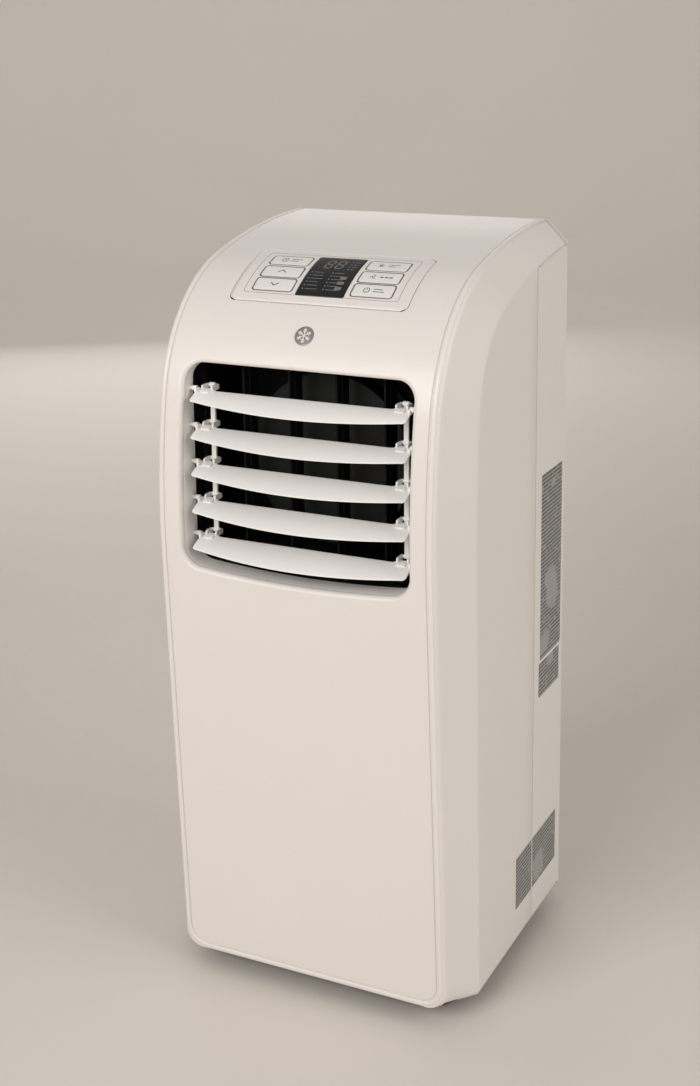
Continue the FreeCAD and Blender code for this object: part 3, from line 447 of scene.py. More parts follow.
def remap(tree, value, low, high, to_low, to_high):
    node = tree.nodes.new("ShaderNodeMapRange")
    node.clamp = True
    feed(tree, node, dict(enumerate((value, low, high, to_low, to_high))))
    return node.outputs[0]


def moulded_finish():
    """Colour, roughness and height of a moulded or cast surface: a broad colour drift, fine grain, faint rubbing
    streaks, and a little settled dust where the surface faces up."""
    group, into, out = new_group(
        "moulded_finish",
        [("Colour", "NodeSocketColor", (0.8, 0.8, 0.8, 1)),
         ("Second Colour", "NodeSocketColor", (0.7, 0.7, 0.7, 1)),
         ("Drift", "NodeSocketFloat", 0.4), ("Grain Scale", "NodeSocketFloat", 900.0),
         ("Rough Low", "NodeSocketFloat", 0.3), ("Rough High", "NodeSocketFloat", 0.45),
         ("Dust", "NodeSocketFloat", 0.06), ("Dust Colour", "NodeSocketColor", (0.62, 0.58, 0.52, 1))],
        [("Colour", "NodeSocketColor"), ("Roughness", "NodeSocketFloat"), ("Height", "NodeSocketFloat")])
    place_node = group.nodes.new("ShaderNodeTexCoord").outputs["Object"]
    broad = noise(group, place_node, 7.0, 3.0)
    drift = math_node(group, "MULTIPLY", remap(group, broad, 0.3, 0.7, 0.0, 1.0), into.outputs["Drift"])
    fine = noise(group, place_node, into.outputs["Grain Scale"], 2.0)
    streaks = fed_node(group, "ShaderNodeMapping", Vector=place_node, Scale=(38.0, 38.0, 24.0))
    rub = noise(group, streaks.outputs["Vector"], 1.0, 4.0, 0.6)
    facing = group.nodes.new("ShaderNodeNewGeometry").outputs["Normal"]
    up = fed_node(group, "ShaderNodeSeparateXYZ", Vector=facing)
    lying = remap(group, up.outputs["Z"], 0.55, 1.0, 0.0, 1.0)
    patchy = remap(group, noise(group, place_node, 34.0, 5.0, 0.65), 0.42, 0.7, 0.2, 1.0)
    settled = math_node(group, "MULTIPLY", lying, patchy)
    dust = math_node(group, "MULTIPLY", settled, into.outputs["Dust"], clamp=True)
    tone = mix_colour(group, drift, into.outputs["Colour"], into.outputs["Second Colour"])
    speck = mix_colour(group, remap(group, fine, 0.62, 0.8, 0.0, 0.05), tone, into.outputs["Second Colour"])
    dusty = mix_colour(group, dust, speck, into.outputs["Dust Colour"])
    wear = weighted(group, rub, 0.6, broad, 0.4)
    rough = remap(group, wear, 0.35, 0.65, into.outputs["Rough Low"], into.outputs["Rough High"])
    rough = math_node(group, "ADD", rough, math_node(group, "MULTIPLY", dust, 0.5), clamp=True)
    feed(group, out, {"Colour": dusty, "Roughness": rough, "Height": weighted(group, fine, 0.5, broad, 0.5)})
    return group


MOULDED = moulded_finish()
BUMP_DEPTH = 0.00004                          # metres


def finish(name, colour, second, rough, grain=900.0, bump=0.06, dust=0.05, metallic=0.0, coat=0.0, coat_rough=0.1,
           ior=1.48):
    """A material whose colour, roughness and bump come from the moulded_finish group."""
    material, tree, shader = tree_of(name)
    node = tree.nodes.new("ShaderNodeGroup")
    node.node_tree = MOULDED
    feed(tree, node, {"Colour": (*colour, 1), "Second Colour": (*second, 1), "Drift": 0.5, "Grain Scale": grain,
                      "Rough Low": rough[0], "Rough High": rough[1], "Dust": dust})
    relief = fed_node(tree, "ShaderNodeBump", Strength=bump, Distance=BUMP_DEPTH, Height=node.outputs["Height"])
    feed(tree, shader, {"Base Color": node.outputs["Colour"], "Roughness": node.outputs["Roughness"],
                        "Normal": relief.outputs["Normal"], "Metallic": metallic, "Coat Weight": coat,
                        "Coat Roughness": coat_rough, "IOR": ior})
    return material


def printed_label():
    """Silver film with rows of dark dashes in blocks, between plain margins."""
    material, tree, shader = tree_of("printed_label")
    where = tree.nodes.new("ShaderNodeTexCoord").outputs["Object"]
    split = fed_node(tree, "ShaderNodeSeparateXYZ", Vector=where)
    rows = math_node(tree, "MULTIPLY", split.outputs["Z"], 270.0)
    row = math_node(tree, "FLOOR", rows)
    share = math_node(tree, "FRACT", rows)
    above, below = math_node(tree, "GREATER_THAN", share, 0.28), math_node(tree, "LESS_THAN", share, 0.78)
    ink_row = math_node(tree, "MULTIPLY", above, below)
    cells = fed_node(tree, "ShaderNodeCombineXYZ", X=math_node(tree, "MULTIPLY", row, 7.31),
                     Y=math_node(tree, "MULTIPLY", split.outputs["Y"], 120.0))
    words = math_node(tree, "GREATER_THAN", noise(tree, cells.outputs[0], 1.0, 3.0, 0.7), 0.4)
    blocks = fed_node(tree, "ShaderNodeCombineXYZ", X=math_node(tree, "MULTIPLY", split.outputs["Y"], 16.0),
                      Y=math_node(tree, "MULTIPLY", split.outputs["Z"], 22.0))
    filled = math_node(tree, "GREATER_THAN", noise(tree, blocks.outputs[0], 1.0, 1.0), 0.36)
    ink = math_node(tree, "MULTIPLY", math_node(tree, "MULTIPLY", ink_row, words), filled)
    film = noise(tree, where, 420.0, 3.0)
    silver = mix_colour(tree, film, (0.34, 0.335, 0.33, 1), (0.42, 0.415, 0.405, 1))
    tone = mix_colour(tree, math_node(tree, "MULTIPLY", ink, 0.85), silver, (0.06, 0.06, 0.065, 1))
    rough = remap(tree, noise(tree, where, 60.0, 3.0), 0.3, 0.7, 0.34, 0.5)
    feed(tree, shader, {"Base Color": tone, "Roughness": rough, "Metallic": 0.25})
    return material


def finned_metal():
    """Bright fin stock with fine pressed ripples along the height."""
    material, tree, shader = tree_of("fin_stock")
    where = tree.nodes.new("ShaderNodeTexCoord").outputs["Object"]
    wave = fed_node(tree, "ShaderNodeTexWave", Scale=90.0, Vector=where)
    wave.bands_direction = "Z"
    grain = noise(tree, where, 240.0, 3.0)
    metal = mix_colour(tree, grain, (0.62, 0.64, 0.65, 1), (0.74, 0.75, 0.75, 1))
    relief = fed_node(tree, "ShaderNodeBump", Strength=0.3, Distance=0.0003, Height=wave.outputs["Fac"])
    feed(tree, shader, {"Base Color": metal, "Roughness": remap(tree, grain, 0.3, 0.7, 0.28, 0.45),
                        "Normal": relief.outputs["Normal"], "Metallic": 1.0})
    return material


def filter_mesh():
    """Woven net: two crossed waves raise the threads."""
    material, tree, shader = tree_of("filter_net")
    where = tree.nodes.new("ShaderNodeTexCoord").outputs["Object"]
    threads = []
    for direction in ("X", "Z"):
        wave = fed_node(tree, "ShaderNodeTexWave", Scale=260.0, Vector=where)
        wave.bands_direction = direction
        threads.append(wave.outputs["Fac"])
    weave = math_node(tree, "MAXIMUM", threads[0], threads[1])
    thread = mix_colour(tree, weave, (0.05, 0.055, 0.06, 1), (0.2, 0.21, 0.22, 1))
    relief = fed_node(tree, "ShaderNodeBump", Strength=0.5, Distance=0.0004, Height=weave)
    feed(tree, shader, {"Base Color": thread, "Roughness": remap(tree, weave, 0.0, 1.0, 0.75, 0.5),
                        "Normal": relief.outputs["Normal"]})
    return material


# each finish: colour, second colour, roughness from and to, grain scale and bump, then what is out of the ordinary
FINISHES = {
    "panel_white": (((0.785, 0.742, 0.715), (0.765, 0.722, 0.695), (0.34, 0.37), 900.0, 0.025),
        dict(dust=0.015, coat=0.12, coat_rough=0.16)),
    "case_white": (((0.775, 0.74, 0.708), (0.755, 0.72, 0.688), (0.42, 0.46), 1100.0, 0.1), dict(dust=0.02)),
    "louvre_white": (((0.91, 0.895, 0.875), (0.88, 0.865, 0.84), (0.34, 0.42), 1200.0, 0.08), {}),
    "key_white": (((0.80, 0.785, 0.76), (0.75, 0.735, 0.71), (0.36, 0.46), 1600.0, 0.1), {}),
    "grille_white": (((0.77, 0.745, 0.705), (0.72, 0.695, 0.65), (0.36, 0.48), 1000.0, 0.12), dict(dust=0.12)),
    "base_grey": (((0.06, 0.06, 0.062), (0.09, 0.088, 0.086), (0.5, 0.65), 700.0, 0.2), dict(dust=0.15)),
    # duct_black: its near-black colour and low IOR are painted shade, standing for the darkness inside the casing
    "duct_black": (((0.0055, 0.0055, 0.006), (0.009, 0.009, 0.0095), (0.55, 0.7), 800.0, 0.2),
        dict(dust=0.03, ior=1.18)),
    "display_glass": (((0.006, 0.006, 0.008), (0.01, 0.01, 0.012), (0.05, 0.09), 500.0, 0.01),
        dict(dust=0.01, coat=0.1, coat_rough=0.03, ior=1.4)),
    "board_green": (((0.02, 0.13, 0.05), (0.03, 0.17, 0.07), (0.3, 0.5), 1200.0, 0.2), {}),
    "badge_grey": (((0.30, 0.30, 0.305), (0.36, 0.36, 0.36), (0.22, 0.34), 900.0, 0.08), dict(metallic=0.55)),
    "foam_grey": (((0.2, 0.2, 0.2), (0.28, 0.28, 0.28), (0.8, 0.95), 400.0, 0.6), {}),
    # blower_plastic: its near-black colour and low IOR are painted shade, standing for the darkness inside the
    # casing
    "blower_plastic": (((0.016, 0.0165, 0.0175), (0.024, 0.0245, 0.025), (0.5, 0.65), 700.0, 0.15),
        dict(dust=0.03, ior=1.2)),
    "motor_steel": (((0.5, 0.5, 0.5), (0.4, 0.4, 0.4), (0.28, 0.42), 300.0, 0.2), dict(metallic=1.0)),
    "compressor_black": (((0.02, 0.02, 0.022), (0.035, 0.035, 0.037), (0.3, 0.45), 500.0, 0.25), {}),
    "rubber_black": (((0.02, 0.02, 0.02), (0.035, 0.034, 0.033), (0.62, 0.8), 600.0, 0.3), dict(dust=0.2)),
    "copper": (((0.78, 0.36, 0.2), (0.55, 0.24, 0.13), (0.25, 0.45), 200.0, 0.15), dict(metallic=1.0)),
    "screw_steel": (((0.55, 0.55, 0.54), (0.42, 0.42, 0.42), (0.25, 0.4), 900.0, 0.15), dict(metallic=1.0)),
    "caster_grey": (((0.16, 0.16, 0.165), (0.2, 0.2, 0.2), (0.42, 0.56), 800.0, 0.15), dict(dust=0.1)),
    "caster_tread": (((0.03, 0.03, 0.031), (0.05, 0.05, 0.05), (0.6, 0.78), 600.0, 0.25), dict(dust=0.2)),
}
MATERIALS = {name: finish(name, *values, **more) for name, (values, more) in FINISHES.items()}
MATERIALS["filter_net"] = filter_mesh()
MATERIALS["coil_aluminium"] = finned_metal()
PRINTS = {
    # this grey is the printed key marks' ink and also the painted shade in the gaps round the keys
    "ink_and_gap_shade_grey": (((0.10, 0.10, 0.105), (0.14, 0.14, 0.145), (0.45, 0.6), 900.0, 0.05), dict(dust=0.0)),
    "segment_grey": (((0.15, 0.15, 0.155), (0.18, 0.18, 0.185), (0.25, 0.35), 700.0, 0.02), dict(dust=0.0)),
    "lamp_white": (((0.19, 0.19, 0.19), (0.15, 0.15, 0.155), (0.2, 0.3), 700.0, 0.02), dict(dust=0.0)),
}
EXTRA = {name: finish(name, *values, **more) for name, (values, more) in PRINTS.items()}
EXTRA["silver_label"] = printed_label()

for node, obj in NODES.items():
    obj.data.materials.clear()
    obj.data.materials.append(MATERIALS[SLOT_OF[node]])


def paint(obj, extra):
    obj.data.materials.clear()
    obj.data.materials.append(EXTRA[extra])
    return obj


# ---------------------------------------------------------------- front skin

PANEL_EDGE = RIM_X - RIM_WIDTH - 0.4          # where the front skin ends, sideways
PANEL_FOOT = RIM_WIDTH + 0.4                  # and at its foot, along the face
BAND = 8.0                                    # width of the strip that follows the outline
INNER_X = PANEL_EDGE - BAND
TURN = CORNER_R - 0.4                         # the outline's corner radius
TOP_S = float(np.interp(TOP_END_Y, front_line(S_TABLE)[0][S_TABLE > 400], S_TABLE[S_TABLE > 400]))


def steps(*stops):
    """Even steps between stops: (from, to, count), ..."""
    parts = [np.linspace(a, b, n + 1)[:-1] for a, b, n in stops]
    return np.concatenate(parts + [[stops[-1][1]]])


MOUTH_RING_S = (float(s_of_z(391.0)), float(s_of_z(598.0)))
PANEL_RING_S = (PANEL_S[0] - 6.0, PANEL_S[1] + 6.0)
CUT = PANEL_HALF + 0.1                        # the control panel's cut-out
HALF_COLUMNS = steps((0.0, CUT - PANEL_R, 16), (CUT - PANEL_R, MOUTH_HALF - MOUTH_R, 5),
                     (MOUTH_HALF - MOUTH_R, INNER_X, 9))
COLUMNS = np.concatenate([-HALF_COLUMNS[:0:-1], HALF_COLUMNS])
TURN_IN = TURN - BAND
CORNER_PHI = np.linspace(0.0, 0.5 * math.pi, 9)
FOOT_S = PANEL_FOOT + TURN - TURN_IN * np.cos(CORNER_PHI)
LOW_ROWS = np.concatenate([FOOT_S, steps((FOOT_S[-1], MOUTH_RING_S[0], 24))[1:]])
MOUTH_ROWS = steps((MOUTH_RING_S[0], 398.0, 3), (398.0, 560.0, 44), (560.0, MOUTH_RING_S[1], 10))
GAP_ROWS = steps((MOUTH_RING_S[1], PANEL_RING_S[0], 22))
PANEL_ROWS = steps((PANEL_RING_S[0], PANEL_RING_S[1], 44))
HIGH_ROWS = steps((PANEL_RING_S[1], TOP_S, 34))


def ring_outline(xs, rows, half, low, high, corner):
    """Matches each point of a border rectangle to one of a rounded hole, side to side and corner to corner.
    Returns the border points, the hole's points and the hole's outward normals, run round once."""
    top = np.stack([xs, np.full(xs.shape, rows[-1])], axis=-1)
    right = np.stack([np.full(len(rows) - 2, xs[-1]), rows[-2:0:-1]], axis=-1)
    bottom = np.stack([xs[::-1], np.full(xs.shape, rows[0])], axis=-1)
    left = np.stack([np.full(len(rows) - 2, xs[0]), rows[1:-1]], axis=-1)
    border = np.concatenate([top, right, bottom, left])
    on_level = np.repeat([True, False, True, False], [len(top), len(right), len(bottom), len(left)])
    sign = np.sign(border - np.array([0.0, 0.5 * (low + high)]))
    upper = sign[:, 1] > 0
    far = np.where(upper, rows[-1], rows[0])
    tangent_s = np.where(upper, high - corner, low + corner)
    straight_x = np.abs(border[:, 0]) <= half - corner + 1e-6
    straight_s = (border[:, 1] >= low + corner - 1e-6) & (border[:, 1] <= high - corner + 1e-6)
    level_share = (np.abs(border[:, 0]) - (half - corner)) / (xs[-1] - (half - corner))
    upright_share = (far - border[:, 1]) / (far - tangent_s)
    phi = np.where(on_level, 0.25 * math.pi * level_share, 0.25 * math.pi * (1.0 + upright_share))
    normal = np.stack([sign[:, 0] * np.sin(phi), sign[:, 1] * np.cos(phi)], axis=-1)
    hole = np.stack([sign[:, 0] * (half - corner), tangent_s], axis=-1) + corner * normal
    on_top = on_level & straight_x
    on_side = ~on_level & straight_s
    hole[on_top] = np.stack([border[on_top, 0], np.where(upper[on_top], high, low)], axis=-1)
    normal[on_top] = np.stack([np.zeros(on_top.sum()), sign[on_top, 1]], axis=-1)
    hole[on_side] = np.stack([sign[on_side, 0] * half, border[on_side, 1]], axis=-1)
    normal[on_side] = np.stack([sign[on_side, 0], np.zeros(on_side.sum())], axis=-1)
    return border, hole, normal


def bowed(points):
    """Lowers the lower half of the mouth's outline, most in the middle."""
    points = points.copy()
    lower = points[..., 1] < 0.5 * (MOUTH_LOW + MOUTH_TOP)
    sag = MOUTH_BOW * np.clip(1.0 - (points[..., 0] / MOUTH_HALF) ** 2, 0.0, 1.0)
    near = np.clip((0.5 * (MOUTH_LOW + MOUTH_TOP) - points[..., 1]) / 60.0, 0.0, 1.0)
    points[..., 1] -= np.where(lower, sag * near, 0.0)
    return points


def mouth_rings():
    """The front face round the louvre opening, then the roll over its edge and the start of the wall behind it.
    The border's rows are arc lengths and the hole is in heights, so the border is also made in heights."""
    border, _, _ = ring_outline(COLUMNS, MOUTH_ROWS, MOUTH_HALF, MOUTH_LOW, MOUTH_TOP, MOUTH_R)
    heights = front_line(MOUTH_ROWS)[1]
    border_z, hole, normal = ring_outline(COLUMNS, heights, MOUTH_HALF, MOUTH_LOW, MOUTH_TOP, MOUTH_R)
    edge = bowed(hole)
    start = edge + normal * MOUTH_ROLL
    rows = []
    for share in np.linspace(0.0, 1.0, 9):
        flat = border_z * (1 - share) + start * share
        s = np.where(share == 0.0, border[:, 1], s_of_z(flat[:, 1]))
        rows.append(on_face(flat[:, 0], s, 0.0))
    for angle in np.linspace(0.0, 0.5 * math.pi, 9)[1:]:
        flat = edge + normal * MOUTH_ROLL * (1.0 - math.sin(angle))
        face_y = front_line(s_of_z(flat[:, 1]))[0]
        rows.append(place(flat[:, 0], face_y + MOUTH_ROLL * (1.0 - math.cos(angle)), flat[:, 1]))
    face_y = front_line(s_of_z(edge[:, 1]))[0]
    for depth in (6.0, 9.0):
        rows.append(place(edge[:, 0], face_y + depth, edge[:, 1]))
    return grid(np.stack(rows), wrap=True, outward=(0, -1, 0)), edge, normal, face_y


def panel_rings():
    """The front face round the control panel's cut-out, with a small roll into the gap."""
    border, hole, normal = ring_outline(COLUMNS, PANEL_ROWS, CUT, PANEL_S[0] - 0.1, PANEL_S[1] + 0.1, PANEL_R)
    rows = []
    start = hole + normal * 0.5
    for share in np.linspace(0.0, 1.0, 7):
        flat = border * (1 - share) + start * share
        rows.append(on_face(flat[:, 0], flat[:, 1], 0.0))
    for angle in np.linspace(0.0, 0.5 * math.pi, 4)[1:]:
        flat = hole + normal * 0.5 * (1.0 - math.sin(angle))
        rows.append(on_face(flat[:, 0], flat[:, 1], -0.5 * (1.0 - math.cos(angle))))
    rows.append(on_face(hole[:, 0], hole[:, 1], -2.4))
    return grid(np.stack(rows), wrap=True, outward=(0, -1, 0.6))


def plain_rows(rows):
    return grid(on_face(COLUMNS[None, :], rows[:, None], 0.0), outward=(0, -1, 0.5))


def low_rows():
    """The plain face under the mouth; its foot narrows with the outline's corners."""
    reach = np.full(len(LOW_ROWS), INNER_X)
    reach[:len(CORNER_PHI)] = INNER_X - TURN_IN + TURN_IN * np.sin(CORNER_PHI)
    x = COLUMNS[None, :] * (reach / INNER_X)[:, None]
    return grid(on_face(x, LOW_ROWS[:, None], 0.0), outward=(0, -1, 0))


def outline_path():
    """The front skin's outline from the top of the left side down, along the foot and up the right side."""
    rows = (LOW_ROWS[len(CORNER_PHI) - 1:], MOUTH_ROWS, GAP_ROWS, PANEL_ROWS, HIGH_ROWS)
    rise = np.concatenate([part[1:] for part in rows])
    sin, cos = np.sin(CORNER_PHI), np.cos(CORNER_PHI)
    middle = PANEL_FOOT + TURN
    hub = PANEL_EDGE - TURN
    across = COLUMNS * (hub / INNER_X)
    right = np.stack([np.full(len(rise), PANEL_EDGE), rise], axis=-1)
    corner = np.stack([hub + TURN * sin, middle - TURN * cos], axis=-1)
    foot = np.stack([across[1:-1], np.full(len(across) - 2, PANEL_FOOT)], axis=-1)
    corner_n = np.stack([sin, -cos], axis=-1)
    flip = np.array([-1.0, 1.0])
    path = np.concatenate([(right * flip)[::-1], (corner * flip)[::-1], foot, corner, right])
    right_n = np.tile([1.0, 0.0], (len(rise), 1))
    foot_n = np.tile([0.0, -1.0], (len(foot), 1))
    normal = np.concatenate([right_n * flip, (corner_n * flip)[::-1], foot_n, corner_n, right_n])
    return path, normal


def outline_band():
    """The strip that follows the outline, rolled over at its outer edge and turned down into the groove."""
    path, normal = outline_path()
    rows = [on_face(*(path - normal * inset).T, 0.0) for inset in np.linspace(BAND, 0.9, 6)]
    for angle in np.linspace(0.0, 0.5 * math.pi, 5)[1:]:
        flat = path - normal * 0.9 * (1.0 - math.sin(angle))
        rows.append(on_face(*flat.T, -0.9 * (1.0 - math.cos(angle))))
    rows.append(on_face(*path.T, -2.6))
    return grid(np.stack(rows), outward=(0, -1, 0.4))


mouth_grid, MOUTH_EDGE, MOUTH_NORMAL, MOUTH_FACE_Y = mouth_rings()
front_face = [low_rows(), mouth_grid, plain_rows(GAP_ROWS), panel_rings(), plain_rows(HIGH_ROWS),
              outline_band()]
thick(piece("front_skin", front_face, "cabinet", "panel_white", closed=False, weld=2e-5, sharp=60,
            replaces=("front_panel",)), 1.6)


def louvre_surround():
    """The opening's pale walls, from just behind its rolled edge back to where the dark sleeve starts."""
    edge = MOUTH_EDGE - MOUTH_NORMAL * 0.15
    rows = [place(edge[:, 0], MOUTH_FACE_Y + depth, edge[:, 1]) for depth in (7.0, 7.4)]
    for share in np.linspace(0.0, 1.0, 5)[1:]:
        rows.append(place(edge[:, 0], (MOUTH_FACE_Y + 7.4) * (1 - share) + WALL_END * share, edge[:, 1]))
    outer = MOUTH_EDGE + MOUTH_NORMAL * 1.6
    rows.append(place(outer[:, 0], np.full(len(outer), WALL_END), outer[:, 1]))
    rows.append(place(outer[:, 0], MOUTH_FACE_Y + 7.0, outer[:, 1]))
    rows.append(rows[0])
    return grid(np.stack(rows), wrap=True)


def louvre_sleeve():
    """The sleeve behind the pale walls, in duct_black, whose near-black colour is painted shade of the unit's
    interior: the same outline a little wider, carried back to the duct.
    """
    start = WALL_END + 0.1
    section = ((0.4, start), (0.4, MOUTH_BACK), (1.6, MOUTH_BACK), (1.6, start), (0.4, start))
    rows = []
    for spread, depth in section:
        line = MOUTH_EDGE + MOUTH_NORMAL * spread
        rows.append(place(line[:, 0], np.full(len(line), depth), line[:, 1]))
    return grid(np.stack(rows), wrap=True)


piece("louvre_surround", [louvre_surround()], "cabinet", "louvre_white", replaces=("louvre_frame",))
# the sleeve's near-black colour is painted shade of the inside of the opening
piece("louvre_sleeve", [louvre_sleeve()], "cabinet", "duct_black")


# ---------------------------------------------------------------- rim bead, shoulders and flanks

def line_of_arcs(line, end_y, run_steps, counts):
    """Points on a straight run and its arcs, part by part, so that two such lines join step by step.
    The last arc stops where it reaches end_y."""
    (y0, z0), lean, run, arcs = line
    heading = math.radians(lean)
    y, z = y0 + run_steps * run * math.sin(heading), z0 + run_steps * run * math.cos(heading)
    points = [np.stack([y, z, np.full(y.shape, heading)], axis=-1)]
    at = np.array([y0 + run * math.sin(heading), z0 + run * math.cos(heading)])
    for i, ((radius, end), count) in enumerate(zip(arcs, counts)):
        end = math.radians(end)
        if i == len(arcs) - 1:
            end = math.acos(math.cos(heading) - (end_y - at[0]) / radius)
        turn = np.linspace(heading, end, count + 1)[1:]
        y = at[0] + radius * (math.cos(heading) - np.cos(turn))
        z = at[1] + radius * (np.sin(turn) - math.sin(heading))
        points.append(np.stack([y, z, turn], axis=-1))
        at = np.array([y[-1], z[-1]])
        heading = end
    return np.concatenate(points)


FOOT_STEPS = np.array([0.0, 0.15, 0.5, 1.0, 1.7, 2.6, 3.8, 5.0, 6.5, 8.5, 11.0, 14.0, 18.0, 22.5])
RUN_STEPS = np.concatenate([FOOT_STEPS / 405.0, np.linspace(0.055, 1.0, 14)[1:]])
ARC_STEPS = (14, 34, 26)
FOOT_R = 6.0
FOOT_IN = 3.4
HOOP_R = 16.0                                 # the casing's corner at the foot, beside the bead's
BEAD_R = CORNER_R + RIM_WIDTH


def rounding(height, radius, reach):
    """How far a quarter circle, squeezed sideways to reach, draws an edge in at a height below its radius."""
    share = np.clip(1 - ((radius - height) / radius) ** 2, 0, None)
    return np.where(height < radius, reach * (1.0 - np.sqrt(share)), 0.0)


def side_shell(sign):
    """A shoulder and flank: straight lines from the front profile to the side profile, a soft bend on to the
    flat flank, the foot rolled under, and the seam edges turned in."""
    rim = line_of_arcs(FRONT, TOP_END_Y, RUN_STEPS, ARC_STEPS)
    side = line_of_arcs(SIDE, TOP_END_Y, RUN_STEPS, ARC_STEPS)
    height = side[:, 1] - FLOOR_GAP
    a = np.stack([RIM_X - 0.35 - rounding(height, HOOP_R, HOOP_R), rim[:, 0], rim[:, 1]], axis=-1)
    b = np.stack([np.full(len(side), HALF_WIDTH), side[:, 0], side[:, 1]], axis=-1)
    across = b - a
    across /= np.linalg.norm(across, axis=1, keepdims=True)
    inward = np.stack([np.zeros(len(side)), np.cos(side[:, 2]), -np.sin(side[:, 2])], axis=-1)
    behind = side[:, 0] >= SEAM_Y
    first_behind = int(np.argmax(behind))
    along = np.clip((side[:, 1] - 560.0) / 90.0, 0.0, 1.0)[:, None]
    soft = 1.7 * (1 - along) + 1.5 * along
    bend_a, bend_b = b - across * soft, b + inward * soft
    rows = [a + (bend_a - a) * v for v in np.linspace(0.0, 1.0, 8)]
    for t in np.linspace(0.0, 1.0, 8)[1:]:
        rows.append(bend_a * (1 - t) ** 2 + 2 * b * t * (1 - t) + bend_b * t ** 2)
    shell = np.stack(rows, axis=1)
    share = np.linspace(0.0, 1.0, shell.shape[1])[None, :] ** 0.6
    flat_n = np.stack([-across[:, 1], across[:, 0], np.zeros(len(across))], axis=-1)
    flat_n /= np.linalg.norm(flat_n, axis=1, keepdims=True)
    flat_n *= np.sign(flat_n[:, :1] + 1e-9)
    under = rounding(height, FOOT_R, FOOT_IN)
    turned_to = flat_n[:, None, :] * (1 - share[..., None]) + np.array([1.0, 0.0, 0.0]) * share[..., None]
    shell = shell - turned_to * (under[:, None] * share)[..., None]
    lip = shell[0] - turned_to[0] * 5.0
    shell = np.concatenate([lip[None], shell])
    grids = [shell]
    forward = shell[:first_behind + 2]
    edge = forward[:, -1]
    ends = np.stack([edge[:, 0], np.maximum(SEAM_Y - 0.5, edge[:, 1]), edge[:, 2]], axis=-1)
    flank = edge[:, None] + (ends - edge)[:, None] * np.linspace(0.0, 1.0, 7)[None, :, None]
    grids.append(flank)
    last = flank[:-1, -1]
    roll = [last + np.array([-d, e, 0.0]) for d, e in ((0.0, 0.0), (0.15, 0.35), (0.5, 0.5), (3.0, 0.5))]
    grids.append(np.stack(roll, axis=1))
    tail, tail_in = shell[first_behind + 1:, -1], inward[first_behind:]
    turns = ((0.0, 0.0), (0.15, 0.2), (0.5, 0.3), (3.0, 0.3))
    grids.append(np.stack([tail + np.array([-d, 0.0, 0.0]) + tail_in * e for d, e in turns], axis=1))
    return [grid(placed(g * (sign, 1, 1)), outward=(sign, -0.15, 0.3)) for g in grids]


def foot_spandrel(sign):
    """The corner of the front between the bead's wide bend and the casing's tighter one: straight lines from one
    quarter circle to the other."""
    turn = np.linspace(0.0, 0.5 * math.pi, 14)
    quarter = np.stack([np.sin(turn), -np.cos(turn)], axis=-1)
    inner = (RIM_X - BEAD_R, BEAD_R) + (BEAD_R - 0.3) * quarter
    outer = (RIM_X - 0.35 - HOOP_R, HOOP_R) + HOOP_R * quarter
    flat = np.stack([inner * (1 - share) + outer * share for share in np.linspace(0.0, 1.0, 4)])
    return grid(on_face(sign * flat[..., 0], flat[..., 1], -0.02), outward=(0, -1, 0))


def rim_bead(sign):
    """Half of the raised rim round the front skin: a crowned section carried along the outline's path."""
    path, normal = outline_path()
    half = len(path) // 2
    if sign > 0:
        path, normal = path[half:], normal[half:]
        path[0, 0] = 0.05
    else:
        path, normal = path[:half + 1], normal[:half + 1]
        path[-1, 0] = -0.05
    section = ((-0.3, -2.6), (-0.3, -0.85), (0.72, -0.85), (0.8, -0.5), (0.95, -0.05), (1.3, 0.3), (2.0, 0.55),
               (3.0, 0.68), (4.0, 0.6), (4.8, 0.38), (5.4, 0.02), (5.75, -0.45), (5.75, -2.6), (-0.3, -2.6))
    rows = [on_face(*(path + normal * d).T, h) for d, h in section]
    core = on_face(*(path + normal * 3.2).T, -1.0)
    body = np.stack(rows, axis=1)
    caps = []
    for end in (0, -1):
        caps.append(grid(np.stack([body[end], np.repeat(core[end][None], body.shape[1], axis=0)])))
    return [grid(body)] + caps


for sign, side in ((-1, "left"), (1, "right")):
    thick(piece("side_skin_" + side, side_shell(sign) + [foot_spandrel(sign)], "cabinet", "case_white",
                closed=False, weld=2e-5, sharp=50, replaces=("side_panel_" + side,)), 1.8)
    piece("rim_bead_" + side, rim_bead(sign), "cabinet", "panel_white", sharp=60)


# ---------------------------------------------------------------- louvre blades

ROD_X = 94.0                                  # the link rods' middles, sideways
ROD_PIN_Y, ROD_PIN_Z = 12.0, 1.4              # the clips' pins, behind and above a blade's pivot


